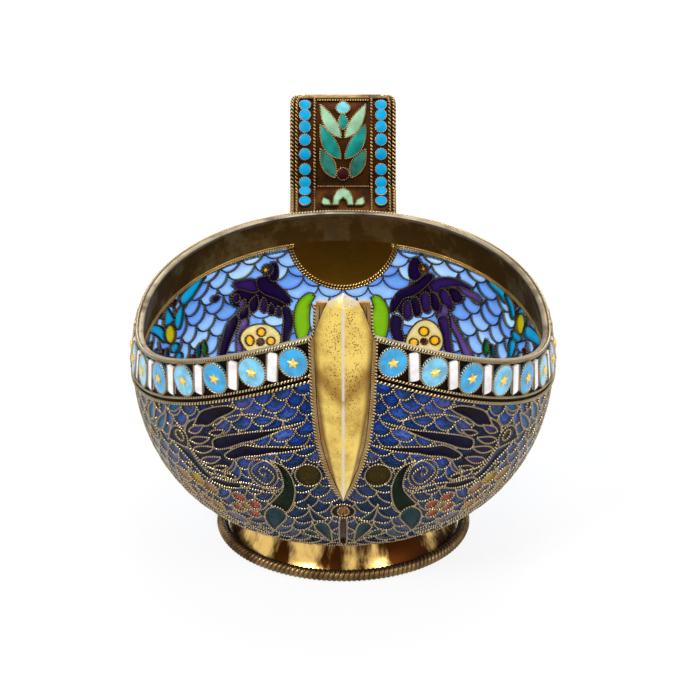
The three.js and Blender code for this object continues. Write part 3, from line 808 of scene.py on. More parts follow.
def groove_group():
    """Dirt in the grooves of twisted wire, and painted shade on wires whose groove values are raised, as
    on the wall's inner face.
    """
    if "Groove Dirt" in bpy.data.node_groups:
        return bpy.data.node_groups["Groove Dirt"]
    tree, take, made = new_group(
        "Groove Dirt",
        [
            ("Color", COLOUR, (1, 1, 1, 1)),
            ("Dirt", COLOUR, (0, 0, 0, 1)),
            ("Groove", NUMBER, 0.0),
            ("Start", NUMBER, 0.2),
            ("Full", NUMBER, 0.72),
        ],
        [("Color", COLOUR), ("Mask", NUMBER)],
    )
    mask = stretched(tree, take["Groove"], take["Start"], take["Full"])
    feed(made, {"Color": mixed(tree, mask, take["Color"], take["Dirt"]), "Mask": mask})
    return tree


def brushed_group():
    """Fine dents and rubbed lines as a height."""
    if "Rubbed Surface" in bpy.data.node_groups:
        return bpy.data.node_groups["Rubbed Surface"]
    tree, take, made = new_group(
        "Rubbed Surface",
        [("Vector", VECTOR, None), ("Scale", NUMBER, 300.0), ("Lines", NUMBER, 0.3)],
        [("Height", NUMBER)],
    )
    dents = noise(tree, take["Vector"], take["Scale"], 4.0)
    lines = noise(tree, scaled(tree, take["Vector"], 1.0, 9.0, 9.0), 900.0, 2.0)
    feed(made, {"Height": sums(tree, "ADD", dents, sums(tree, "MULTIPLY", lines, take["Lines"]))})
    return tree


def new_material(name):
    """An empty node material, its tree, its shader and Object coordinates."""
    material = bpy.data.materials.new(name)
    material.use_nodes = True
    tree = material.node_tree
    where = add(tree, "ShaderNodeTexCoord").outputs["Object"]
    return material, tree, shader_of(tree), where


def shader_of(tree):
    """The shader of a material's tree."""
    return next(node for node in tree.nodes if node.type == "BSDF_PRINCIPLED")


def gilt(
    name, clean, toned, share, rough, scale=120.0, flecks=0.0, soiled=False, bump=0.05,
    fleck_scale=2200.0, soft=0.22, stretch=1.0,
):
    """Gilded metal with toning, flecks, groove dirt and a rubbed surface."""
    if name in bpy.data.materials:
        return bpy.data.materials[name]
    material, tree, shader, where = new_material(name)
    looks = {
        "Vector": scaled(tree, where, 1.0, 1.0, stretch),
        "Clean": rgba(clean),
        "Toned": rgba(toned),
        "Share": share,
        "Scale": scale,
        "Flecks": flecks,
        "Fleck Scale": fleck_scale,
        "Soft": soft,
    }
    patina = add(tree, "ShaderNodeGroup", looks, node_tree=patina_group())
    colour, mask = patina.outputs
    if soiled:
        dirt = {"Color": colour, "Groove": attribute(tree, "groove"), "Dirt": rgba(colours().groove)}
        colour, dirty = add(tree, "ShaderNodeGroup", dirt, node_tree=groove_group()).outputs
        mask = sums(tree, "MAXIMUM", mask, dirty)
    rubbed = add(tree, "ShaderNodeGroup", {"Vector": where}, node_tree=brushed_group())
    finish = {
        "Base Color": colour,
        "Roughness": stretched(tree, mask, 0.0, 1.0, rough, rough + 0.25),
        "Metallic": 1.0,
        "Normal": bumped(tree, rubbed.outputs["Height"], bump, 0.5 * MM),
    }
    feed(shader, finish)
    return material


def glaze(name, base, shade=0.8, rough=0.12, coat_weight=0.3, gloss=0.5):
    """Opaque enamel with faint clouding, pits and a glassy face."""
    if name in bpy.data.materials:
        return bpy.data.materials[name]
    material, tree, shader, where = new_material(name)
    cloud = noise(tree, where, 420.0, 5.0)
    dark = rgba([c * shade for c in base])
    finish = {
        "Base Color": mixed(tree, stretched(tree, cloud, 0.35, 0.7), rgba(base), dark),
        "Roughness": stretched(tree, cloud, 0.3, 0.7, rough, rough + 0.12),
        "Normal": bumped(tree, noise(tree, where, 1500.0, 3.0), 0.2, 0.2 * MM),
        "Coat Weight": coat_weight,
        "Coat Roughness": 0.05,
        "Specular IOR Level": gloss,
    }
    feed(shader, finish)
    return material


def colours():
    """The colour properties."""
    return chosen("colours")


# Each metal: its name, clean and toned colour, share toned, roughness and the rest of its settings
METALS = {
    "wire": ("Twisted gilt wire", "wire", "gilt_shade", 0.3, 0.22, {"soiled": True, "bump": 0.02}),
    "dull": ("Dull gilt wire", "dull_gilt", "inner_shade", 0.42, 0.26, {"soiled": True, "bump": 0.02}),
    "warm": ("Warm gilt wire", "gilt", "gilt_shade", 0.35, 0.24, {"soiled": True, "bump": 0.02}),
    "thick": ("Worn thick wire", "dull_wire", "inner_shade", 0.5, 0.3, {"soiled": True, "bump": 0.03}),
    "bright": ("Bright gilding", "gilt", "tarnish", 0.48, 0.14, {"scale": 46.0, "flecks": 0.6}),
    # The foot's dark patches, stretched upright, are painted dark reflections, with real flecks.
    "foot": (
        "Patched foot gilding", "gilt", "dark_reflection_and_pits", 0.54, 0.16,
        {"scale": 95.0, "flecks": 0.8, "soft": 0.07, "stretch": 0.2},
    ),
    "inner": (
        "Dull inner gilding", "inner", "inner_tarnish", 0.56, 0.36,
        {"scale": 150.0, "flecks": 0.9, "bump": 0.1, "soft": 0.12},
    ),
    "lunette": (
        "Lunette gilding", "lunette", "inner_shade", 0.36, 0.32,
        {"scale": 60.0, "flecks": 0.4, "bump": 0.08},
    ),
    "shield": ("Shield gilding", "shield", "gilt_shade", 0.6, 0.25, {"scale": 140.0, "flecks": 0.5}),
    "strap": ("Amber ground", "strap", "ground", 0.5, 0.35, {"scale": 230.0, "bump": 0.2}),
    "dark": ("Oxidised ground", "ground", "groove", 0.5, 0.45, {"scale": 300.0, "bump": 0.3}),
    "rim": (
        "Worn grey rim", "rim", "inner_shade", 0.42, 0.42,
        {"scale": 160.0, "flecks": 0.4, "bump": 0.1},
    ),
    "star": ("Granular gold", "star", "beak_shade", 0.35, 0.36, {"scale": 700.0, "bump": 0.5}),
    "beak": (
        "Beak gilding", "beak", "beak_shade", 0.42, 0.2,
        {"scale": 150.0, "flecks": 1.0, "fleck_scale": 3600.0},
    ),
}


def metal(kind):
    """A metal of the table."""
    label, clean, toned, share_toned, rough, rest = METALS[kind]
    c = colours()
    return gilt(label, getattr(c, clean), getattr(c, toned), share_toned, rough, **rest)


# Foot, rope and floor

FOOT_SIDES = 160
FOOT_STEPS = 14
LIP_HEIGHT = 0.9 * MM
FLOOR_RINGS = (0.93, 0.7, 0.4, 0.12)
COLLAR_WIRE = 0.45 * MM
COLLAR_BEAD = 0.8 * MM


def lathe(name, profile, filled=False):
    """A round piece drawn ring by ring through radii and heights; its last ring may be filled."""
    radius, height = profile[0]
    centre = hull().centre
    deselect_all()
    bpy.ops.mesh.primitive_circle_add(vertices=FOOT_SIDES, radius=radius, location=(0, centre, height))
    bpy.ops.object.transform_apply(location=True)
    piece = named(name)
    with editing(piece):
        for wide, high in profile[1:]:
            draw_up(high - height)
            scale = wide / radius
            bpy.ops.transform.resize(value=(scale, scale, 1), center_override=(0, centre, high))
            radius, height = wide, high
        if filled:
            bpy.ops.mesh.fill()
    close_up(piece)
    return piece


def make_foot():
    """The flared ring foot with its lip."""
    bowl = chosen("bowl")
    head = bowl.bottom_radius + bowl.foot_ledge
    base = head + bowl.foot_flare
    lip = base - bowl.foot_lip
    outer = []
    for climb in np.linspace(0, 1, FOOT_STEPS + 1):
        height = LIP_HEIGHT + (bowl.foot_top - LIP_HEIGHT) * climb
        outer.append((head + bowl.foot_flare * (1 - height / bowl.foot_top) ** 2, height))
    inner = [(radius - bowl.foot_wall, height) for radius, height in outer]
    foot = lathe(
        "foot_flared_ring",
        [(base, 0.0), *outer, *inner[:0:-1], (lip, LIP_HEIGHT), (lip, 0.0), (base, 0.0)],
    )
    bevel(foot, 0.14, 38)
    # The foot's gilding carries painted dark reflections.
    complete(foot, 40, metal("foot"), "gilt_bright", "foot_ring")


def circle_line(radius, height, steps=720):
    """A level circle round the foot's axis and its outward directions."""
    a = np.linspace(0, math.tau, steps + 1)
    out = np.stack([np.sin(a), -np.cos(a), np.zeros_like(a)], 1)
    line = out * radius + np.array([0, hull().centre, height])
    return line, out


def make_rope():
    """The two-strand rope round the foot."""
    bowl = chosen("bowl")
    radius = bowl.rope / 2
    base = bowl.bottom_radius + bowl.foot_ledge + bowl.foot_flare
    strands = strand_rings(*circle_line(base + radius, radius), radius, bowl.rope_pitch, looped=True)
    wired("foot_twisted_rope", strands, "thick", "foot_rope")


def make_floor():
    """The plate that closes the bowl, and the twisted wires where the wall meets the foot."""
    bowl = chosen("bowl")
    head = bowl.bottom_radius + bowl.foot_ledge
    high = bowl.foot_top + bowl.floor
    rings = [(head * part, high) for part in FLOOR_RINGS]
    plate = lathe("bowl_floor", [(head, bowl.foot_top), (head, high), *rings], filled=True)
    bevel(plate, 0.1, 40)
    complete(plate, 40, metal("lunette"), "gilt_inner", "base_plate")
    inside = circle_line(bowl.bottom_radius - bowl.wall - COLLAR_WIRE, high + COLLAR_WIRE / 2)
    outside = circle_line(bowl.bottom_radius + COLLAR_WIRE / 2, bowl.foot_height + COLLAR_WIRE / 2)
    runs = [twisted_rings(*ring, COLLAR_WIRE, COLLAR_BEAD, looped=True) for ring in (inside, outside)]
    wired("wall_foot_wires", runs, "wire")


# Rim band

BAND_COLUMNS = 480
BAND_ROWS = 8

# The rim strip's section: shares of the band's thickness off its face, and of the strip's height
RIM_SECTION = ((0.02, 0.0), (0.02, 0.8), (-0.15, 1.0), (-0.85, 1.0), (-1.06, 0.8), (-1.04, 0.0))
RIM_HEIGHT_SHARE = 0.74
RIM_SUNK = 0.1 * MM

# Twisted wires on the rim, in millimetres: radius, distance off the face and lift
RIM_WIRES = ((0.34, 0.22, 0.44), (0.22, 0.12, 0.02))

# Doubled wires along the band's foot and its hem inside, in millimetres: distance down and radius
BAND_FOOT_WIRES = ((0.0, 0.36), (1.3, 0.42))
HEM_WIRES = ((-0.2, 0.25), (0.3, 0.28))

# How far short of the band's height the first foot wire stays, at most and at least
FOOT_WIRE_RANGE = (2.15 * MM, 1.75 * MM)


def make_band():
    """The plain band: dark outside, dull gilt inside."""
    band = chosen("band")

    def place(u, v):
        a = u * math.tau
        return hull().place(a, hull().t_below(a, hull().hem(a) * (1 - v)))

    sheet = laid_grid("band_sheet", BAND_COLUMNS, BAND_ROWS, place)
    face_outward(sheet, (0, -1, 0))
    with editing(sheet):
        bpy.ops.mesh.remove_doubles(threshold=SAME_SPOT)
    coat(sheet, metal("dark"), metal("inner"), metal("rim"))
    thicken(sheet, band.thickness, material_offset=1, material_offset_rim=2)
    smooth(sheet, 50)
    hand_over(sheet, "gilt_inner", "rim_band")


def make_rim():
    """The plain strip on the edge and the fine twisted wires along it."""
    band = chosen("band")
    a = np.linspace(0, math.tau, BAND_COLUMNS + 1)
    edge = np.ones_like(a)
    top = hull().point(a, edge)
    out = hull().normal(a, edge)
    up = unit(top - hull().point(a, 0.98 * edge))
    lines = []
    for x, z in RIM_SECTION:
        rise = z * band.rim_wire * RIM_HEIGHT_SHARE - RIM_SUNK
        lines.append(top + out * x * band.thickness + up * rise)
    strip = loft("rim_strip", np.stack(lines, 1))
    complete(strip, 35, metal("rim"), "gilt_wire", "rim_wire")
    runs = []
    for radius, off, lift in np.array(RIM_WIRES) * MM:
        line, outs = round_hull(np.ones_like, off, lift=lift)
        runs.append(twisted_rings(line, outs, radius, radius * 1.9, looped=True))
    wired("rim_twisted_wires", runs, "wire")


def make_band_wires():
    """The doubled twisted wires along the band's foot and its hem inside."""
    band = chosen("band")
    bowl = chosen("bowl")
    stop = chosen("prow").plate_width / 2 / bowl.front_length
    least, most = (band.height - off for off in FOOT_WIRE_RANGE)
    runs = []
    for further, radius in np.array(BAND_FOOT_WIRES) * MM:
        def at_foot(a, further=further):
            spread = further * (1 - 0.4 * np.maximum(-np.cos(a), 0))
            return hull().t_below(a, np.clip(hull().hem(a), least, most) + spread)

        line, outs = round_hull(at_foot, radius * 0.6, stop, math.tau - stop)
        runs.append(twisted_rings(line, outs, radius, radius * 2))
    wired("band_foot_twisted_wires", runs, "wire", "band_wire")

    seat = math.asin(band.seat_radius / bowl.back_length)
    runs = []
    for further, radius in np.array(HEM_WIRES) * MM:
        def at_hem(a, further=further):
            return hull().t_below(a, hull().hem(a) + further)

        line, outs = round_hull(at_hem, -band.thickness, math.pi + seat, 3 * math.pi - seat)
        runs.append(twisted_rings(line, outs, radius, radius * 2))
    wired("band_hem_twisted_wires", runs, "warm")


# Plaques and bars on the band


def plaque_middle():
    """Depth of the plaques' centres below the rim, and half their height."""
    band = chosen("band")
    depth = (band.height + band.top_margin - band.foot_margin) / 2
    reach = (band.height - band.top_margin - band.foot_margin) / 2
    return depth, reach


def plaque_row():
    """Width of a plaque, and the angles of the plaques and of the bars between them."""
    band = chosen("band")
    prow = chosen("prow")
    depth, _ = plaque_middle()
    a = np.linspace(0, math.pi, 721)
    reach = walked(hull().point(a, hull().t_below(a, depth)))
    start = prow.plate_width / 2 + 2 * band.gap
    handle = chosen("handle")
    end = reach[-1] - handle.width / 2 - band.plain_end - band.gap
    space = band.bar_width + 2 * band.gap
    width = (end - start - (band.plaques - 1) * space) / band.plaques
    middles = start + width / 2 + np.arange(band.plaques) * (width + space)
    bars = (middles[:-1] + middles[1:]) / 2
    return width, np.interp(middles, reach, a), np.interp(bars, reach, a)


def band_frame(a, out):
    """The frame of a plaque or bar that lies flat on the band at an angle."""
    band = chosen("band")
    depth, _ = plaque_middle()
    step = 1e-3
    near = np.array([a - step, a, a + step])
    t = hull().t_below(near, depth)
    middle = hull().place(near, t, out)
    normal = hull().normal(near, t)[1]
    run = unit(middle[2] - middle[0])
    square = unit(np.cross(normal, run))
    t_here = float(t[1])
    upright = unit(hull().point(a, t_here + step) - hull().point(a, t_here - step))
    lean = upright * (1 - band.lean) + square * band.lean
    east = unit(np.cross(lean, normal))
    north = np.cross(normal, east)
    rows = np.stack([east, north, normal, middle[1]], 1).tolist()
    return Matrix([*rows, (0, 0, 0, 1)])


DISC_SIDES = 40


def stepped_disc(name, outline_scale, steps):
    """A disc drawn up in steps: each step is a height and how far its edge draws in."""
    deselect_all()
    bpy.ops.mesh.primitive_circle_add(vertices=DISC_SIDES, radius=1, fill_type="NGON")
    disc = named(name)
    with editing(disc):
        bpy.ops.transform.resize(value=(*outline_scale, 1), center_override=(0, 0, 0))
        for height, inset in steps:
            if inset:
                draw_in(inset, height)
            else:
                draw_up(height)
    close_up(disc)
    return disc


def star(name, points, radius, inner_share, height, rise):
    """A low star with a raised middle."""
    deselect_all()
    bpy.ops.mesh.primitive_circle_add(vertices=2 * points, radius=radius, fill_type="NGON")
    made = named(name)
    for corner in made.data.vertices:
        around = round(math.atan2(corner.co.x, corner.co.y) / (math.pi / points))
        if around % 2:
            corner.co.x *= inner_share
            corner.co.y *= inner_share
    with editing(made):
        draw_up(height)
        bpy.ops.mesh.poke(offset=rise)
    return made


def placed_copy(master, name, matrix):
    """A copy of a model with its own mesh, carried to a frame."""
    piece = master.copy()
    piece.data = master.data.copy()
    piece.name = name
    piece.data.name = name
    bpy.context.scene.collection.objects.link(piece)
    piece.data.transform(matrix)
    return piece


PLAQUE_EDGE = 0.28 * MM
PLAQUE_INSET = 0.14 * MM
PLAQUE_OVERREACH = 0.34 * MM

# The enamel's steps: share of the plaque's rise, and how far its edge draws in, in millimetres
PLAQUE_STEPS = ((0.7, 0), (0.12, 0.3), (0.1, 0.6), (0.04, 0.8))

STAR_RADIUS = 1.2 * MM
STAR_NOTCH = 0.52
STAR_HEIGHT = 0.18 * MM
STAR_POINT = 0.3 * MM


def plaque_model(name, width, enamel):
    """An oval enamel plaque with a gilt star in a ring of twisted wire."""
    rise = chosen("band").plaque
    _, reach = plaque_middle()
    edge = PLAQUE_EDGE
    across = width / 2 - edge - PLAQUE_INSET
    along = reach - edge + PLAQUE_OVERREACH
    steps = [(rise * part, inset * MM) for part, inset in PLAQUE_STEPS]
    disc = stepped_disc(name, (across + edge * 0.3, along + edge * 0.3), steps)
    coat(disc, enamel)
    smooth(disc, 50)
    sign = star(name + "_star", 5, STAR_RADIUS, STAR_NOTCH, STAR_HEIGHT, STAR_POINT)
    sign.data.transform(Matrix.Translation((0, 0, rise * 0.93)))
    close_up(sign)
    coat(sign, metal("star"))
    a = np.linspace(0, math.tau, 121)
    line = np.stack([across * np.cos(a), along * np.sin(a), np.full_like(a, rise * 0.62)], 1)
    up = np.tile([0.0, 0.0, 1.0], (len(a), 1))
    ring = wires(name + "_ring", [twisted_rings(line, up, edge, 2 * edge, looped=True)])
    coat(ring, metal("wire"))
    return join(name, [disc, sign, ring])


def make_plaques():
    """The enamel plaques, each over its own solid."""
    width, middles, _ = plaque_row()
    c = colours()
    pale = plaque_model("pale_plaque", width, glaze("Turquoise enamel", c.turquoise))
    deep = plaque_model("deep_plaque", width, glaze("Azure enamel", c.azure))
    for hand, side in HANDS:
        for i, a in enumerate(middles):
            node = f"plaque_{hand}_{i + 1:02d}"
            piece = placed_copy(pale if i % 2 else deep, f"star_{node}", band_frame(side * a, 0.0))
            hand_over(piece, "enamel_turquoise", node)
    for master in (pale, deep):
        bpy.data.objects.remove(master)


def bar_model(width, height):
    """A white bar with round ends and a soft crown."""
    rise = chosen("band").bar_raise
    deselect_all()
    bpy.ops.mesh.primitive_plane_add(size=1)
    bar = named("bar_model")
    with editing(bar):
        bpy.ops.transform.resize(value=(width, height, 1), center_override=(0, 0, 0))
        bpy.ops.mesh.bevel(offset=width * 0.3, segments=5, affect="VERTICES")
        bpy.ops.mesh.select_all(action="SELECT")
        draw_up(rise * 0.75)
        for part in (0.22, 0.3):
            draw_in(width * part * 0.5, rise * part * 0.5)
    close_up(bar)
    smooth(bar, 50)
    return bar


BAR_WIRE = 0.2 * MM
BAR_WIRE_BEAD = 0.46 * MM


def make_bars():
    """The white bars between the plaques and the twisted wires beside them."""
    band = chosen("band")
    _, reach = plaque_middle()
    _, _, bars = plaque_row()
    height = 2 * (reach - band.bar_shortening)
    wide = band.bar_width + band.bar_spread
    model = bar_model(wide, height)
    coat(model, glaze("White enamel", colours().white, shade=0.88, rough=0.3))
    copies = []
    runs = []
    y = np.linspace(-0.48, 0.48, 12) * height
    for _, side in HANDS:
        for a in bars:
            matrix = band_frame(side * a, 0.0)
            copies.append(placed_copy(model, "bar_copy", matrix))
            for x in (-1, 1):
                local = [(x * wide * 0.53, along, BAR_WIRE * 2.6) for along in y]
                line = np.array([matrix @ Vector(p) for p in local])
                out = np.tile(np.array(matrix.col[2][:3]), (len(y), 1))
                runs.append(twisted_rings(line, out, BAR_WIRE, BAR_WIRE_BEAD))
    bpy.data.objects.remove(model)
    hand_over(join("band_white_bars", copies), "enamel_turquoise")
    wired("band_bar_wires", runs, "wire")


# Prow


class Keel:
    """The hull's line down the prow, carried straight on above the rim."""

    def __init__(self, t0, rise):
        t = np.linspace(t0, 1, 200)
        zero = np.zeros_like(t)
        points = hull().point(zero, t)
        normals = hull().normal(zero, t)
        normals[:, 0] = 0
        run = unit(points[-1] - points[-2])
        self.points = np.vstack([points, points[-1] + run * rise])
        self.outs = unit(np.vstack([normals, normals[-1]]))
        self.reach = walked(self.points)

    def at(self, shares):
        """Points and outward directions at shares of the length."""
        s = np.asarray(shares) * self.reach[-1]
        return between(s, self.reach, self.points), unit(between(s, self.reach, self.outs))


# Length from the tip, half-width and ridge height, all as shares of the greatest
BEAK_OUTLINE_SHARES = (
    (0, 0.03, 0.2), (0.04, 0.12, 0.3), (0.1, 0.26, 0.42), (0.2, 0.445, 0.58), (0.31, 0.62, 0.72),
    (0.41, 0.74, 0.82), (0.51, 0.85, 0.9), (0.6, 0.915, 0.95), (0.68, 0.957, 0.98), (0.74, 0.99, 1),
    (0.8, 1, 1), (0.84, 0.94, 1), (0.885, 0.81, 1), (0.93, 0.68, 1), (0.965, 0.52, 1), (1, 0.03, 0.15),
)

# The same for the plate, without a ridge
PLATE_OUTLINE_SHARES = (
    (0, 0.04), (0.05, 0.22), (0.1, 0.37), (0.2, 0.6), (0.33, 0.81), (0.43, 0.89), (0.53, 0.94),
    (0.65, 0.97), (0.75, 0.99), (0.82, 1), (0.86, 0.86), (1, 0.83),
)


# The shield's border wires in millimetres: distance out from its outline, radius and depth
SHIELD_WIRES = ((0.12, 0.42, 0.3), (-0.62, 0.24, -0.05))
SHIELD_DROOP = 0.5
LEAST_HALF = 0.02 * MM
ACROSS = np.array([1.0, 0, 0])


def make_prow_plate():
    """The shield under the beak with its border wires."""
    prow = chosen("prow")
    keel = Keel(prow.plate_tip, prow.plate_rise)
    shares, widths = np.array(PLATE_OUTLINE_SHARES).T
    front = prow.clearance + prow.plate
    droop = SHIELD_DROOP / chosen("bowl").half_width

    def at(x, v, out):
        point, outs = keel.at(v)
        return point + outs * (out - droop * x**2)[..., None] + ACROSS * x[..., None]

    def place(u, v):
        half = np.interp(v, shares, widths) * prow.plate_width / 2
        return at((u * 2 - 1) * half, v, front)

    plate = laid_grid("prow_shield", 14, 60, place)
    face_outward(plate, (0, -1, 0.2))
    thicken(plate, prow.plate)
    bevel(plate, 0.12, 50)
    complete(plate, 40, metal("shield"), "gilt_wire", "prow_plate")

    runs = []
    v = np.linspace(0.02, 0.985, 160)
    _, outs = keel.at(np.concatenate([v[::-1], v]))
    for spread, radius, sunk in np.array(SHIELD_WIRES) * MM:
        half = np.maximum(np.interp(v, shares, widths) * prow.plate_width / 2 + spread, LEAST_HALF)
        line = np.vstack([at(half, v, front - sunk)[::-1], at(-half, v, front - sunk)])
        runs.append(twisted_rings(line, outs, radius, radius * 1.8))
    wired("prow_shield_wires", runs, "wire")


def beak_gilt():
    """Bright flecked gilding with pits: silver on the ridge, partly where the gilding is rubbed through
    and partly a painted highlight; toned along the edges; and one band of painted dark reflection across
    it.
    """
    c = colours()
    material = metal("beak")
    tree = material.node_tree
    shader = shader_of(tree)
    colour = shader.inputs["Base Color"].links[0].from_socket
    where = next(node for node in tree.nodes if node.type == "TEX_COORD").outputs["Object"]
    cloud = noise(tree, where, 300.0, 5.0)
    wear_and_highlight = stretched(tree, cloud, 0.25, 0.5)
    small = specks(tree, where, 2100.0, 0.22, 0.36)
    pits = sums(tree, "MULTIPLY", small, stretched(tree, cloud, 0.34, 0.48))
    layers = (
        # the "toned" layer is a painted dark reflection: a soft V band across the beak
        ("toned", c.gilt_shade, 0.85),
        ("pitted", c.dark_reflection_and_pits, pits),
        ("edge", c.tarnish, 0.85),
        # the ridge's silver is partly rubbed-through silver and partly a painted highlight along the crest
        # and the upper end
        ("ridge", c.silver, wear_and_highlight),
    )
    for label, shade, share_shown in layers:
        amount = sums(tree, "MULTIPLY", attribute(tree, label), share_shown)
        colour = mixed(tree, amount, colour, rgba(shade))
    feed(shader, {"Base Color": colour})
    return material


# The ridge's fall at the beak's upper end: where it starts, over what length and by what share
FALL_START = 0.88
FALL_LENGTH = 0.12
FALL_SHARE = 0.4

# Half the width of the ridge's soft crown, and how close two lines may come
CROWN_HALF = 0.42 * MM
CLOSEST = 1e-6

# The pale upper end (partly rubbed-through silver, partly a painted highlight), the edge's tone and the
# band of painted dark reflection, as shares of the length and of the half-width
PALE_END_START = 0.957
PALE_END_LENGTH = 0.01
PALE_END_SLANT = 0.011
PALE_END_SHARE = 0.6
EDGE_START = 0.95
EDGE_WIDTH = 0.02
REFLECTION_BAND_MIDDLE = 0.535
REFLECTION_BAND_WIDTH = 0.052
REFLECTION_BAND_SLANT = 0.12

# The pits: where they lie across the facet, and from where along it they grow, from what share
PITS_MIDDLE = 0.36
PITS_WIDTH = 0.34
PITS_START = 0.3
PITS_REACH = 0.3
PITS_LEAST = 0.25


def hump(x, middle, width):
    """A smooth rise to 1 at the middle of a span."""
    return np.exp(-(((x - middle) / width) ** 2))


def make_beak():
    """The keeled beak, its facets drawn between stations along the prow."""
    prow = chosen("prow")
    keel = Keel(prow.beak_tip, prow.beak_rise)
    shares, widths, heights = np.array(BEAK_OUTLINE_SHARES).T
    stations = np.unique(np.concatenate([np.linspace(0, 0.85, 64), np.linspace(0.85, 1, 36), shares]))
    half = np.interp(stations, shares, widths) * prow.beak_width / 2
    ridge = np.interp(stations, shares, heights) * prow.keel
    ridge *= 1 - np.clip((stations - FALL_START) / FALL_LENGTH, 0, 1) ** 2 * FALL_SHARE
    edge = np.minimum(prow.edge, ridge / 2)
    break_at = edge + (ridge - edge) * prow.facet_height
    flat = np.minimum(0.12 * prow.keel_width, half * prow.facet_width / 2)
    seat = 2 * prow.clearance + prow.plate
    point, outs = keel.at(stations)
    facet = half * prow.facet_width
    near = np.minimum(CROWN_HALF, facet * 0.6)
    near_high = ridge + (break_at - ridge) * (near - flat) / np.maximum(facet - flat, CLOSEST)
    right = [
        (half, 0 * half),
        (half, edge),
        (half * 0.94 + facet * 0.06, edge * 0.94 + break_at * 0.06),
        ((half + facet) / 2, (edge + break_at) / 2),
        (facet, break_at),
        ((facet + near) / 2, (break_at + near_high) / 2),
        (near, near_high),
        (flat, ridge),
    ]
    levels = right + [(-x, high) for x, high in reversed(right)]
    lines = [point + outs * (seat + high)[:, None] + ACROSS * x[:, None] for x, high in levels]
    beak = loft("prow_beak", np.stack(lines, 1))
    bevel(beak, 0.16, 14, 3)
    corners = corners_of(beak)
    along = np.interp(corners[:, 2], point[:, 2], stations)
    across = np.abs(corners[:, 0])
    width_here = np.maximum(np.interp(along, stations, half), 0.1 * MM)
    share_out = np.clip(across / width_here, 0, 1)
    # Silver along the crest and over the upper end: partly rubbed-through silver, partly a painted
    # highlight.
    crest = np.clip(1.25 - across / (0.2 * MM), 0, 1)
    sloped = np.clip((along - PALE_END_START + PALE_END_SLANT * share_out) / PALE_END_LENGTH, 0, 1)
    write_values(beak, "ridge", np.maximum(crest, sloped * PALE_END_SHARE))
    write_values(beak, "edge", np.clip((share_out - EDGE_START) / EDGE_WIDTH, 0, 1))
    # the "toned" values place a painted dark reflection, a soft V band across the beak
    write_values(beak, "toned", hump(along - REFLECTION_BAND_SLANT * share_out, REFLECTION_BAND_MIDDLE, REFLECTION_BAND_WIDTH))
    beside = hump(share_out, PITS_MIDDLE, PITS_WIDTH)
    write_values(beak, "pitted", beside * np.clip((along - PITS_START) / PITS_REACH, PITS_LEAST, 1))
    complete(beak, 12, beak_gilt(), "gilt_bright", "beak")


# Handle


# The strap's rounded crest: where it starts along the strap, its length and how far it draws in
CREST_START = 28 * MM
CREST_REACH = 4 * MM
CREST_DRAW = 1.9 * MM


class Strap:
    """The handle's upper face: points at a distance along it, across it and off it."""

    def __init__(self, handle):
        self.width = handle.width
        root = hull().point(np.array(math.pi), np.array(1.0))
        slope = handle.shelf_slope
        y = root[1] - handle.overrun
        z = root[2] - handle.drop - handle.overrun * math.tan(slope)
        track = [(y, z, slope)]

        def straight(reach, count):
            nonlocal y, z
            for _ in range(count):
                y += reach / count * math.cos(slope)
                z += reach / count * math.sin(slope)
                track.append((y, z, slope))

        def bend(radius, end, count):
            nonlocal y, z, slope
            step = (end - slope) / count
            chord = 2 * radius * abs(math.sin(step / 2))
            for _ in range(count):
                y += chord * math.cos(slope + step / 2)
                z += chord * math.sin(slope + step / 2)
                slope += step
                track.append((y, z, slope))

        straight(handle.shelf + handle.overrun / math.cos(slope), 12)
        bend(handle.knee, handle.panel_slope, 10)
        straight(handle.panel, 8)
        bend(handle.bend, handle.crest_slope, 12)
        bend(handle.curl, handle.tail_slope, 28)
        straight(handle.tail, 3)
        self.track = np.array(track)
        self.reach = walked(self.track[:, :2])
        self.start = handle.overrun / math.cos(handle.shelf_slope)

    def at(self, x, s, out):
        """Points at x across, s along and out off the upper face."""
        y, z, slope = (np.interp(s, self.reach, column) for column in self.track.T)
        x, y, z, slope, out = np.broadcast_arrays(x, y, z, slope, out)
        return np.stack([x, y - np.sin(slope) * out, z + np.cos(slope) * out], -1)

    def half(self, s):
        """Half the strap's width, drawn in at the rounded corners of its crest."""
        turned = np.clip((s - CREST_START) / CREST_REACH, 0, 1)
        return self.width / 2 - CREST_DRAW * (1 - np.sqrt(1 - turned**2))

    def out(self, s):
        """Directions off the upper face."""
        slope = np.interp(s, self.reach, self.track[:, 2])
        return np.stack([0 * slope, -np.sin(slope), np.cos(slope)], -1)


def strap():
    """The handle's line."""
    return Strap(chosen("handle"))


STRAP_STEPS = 120


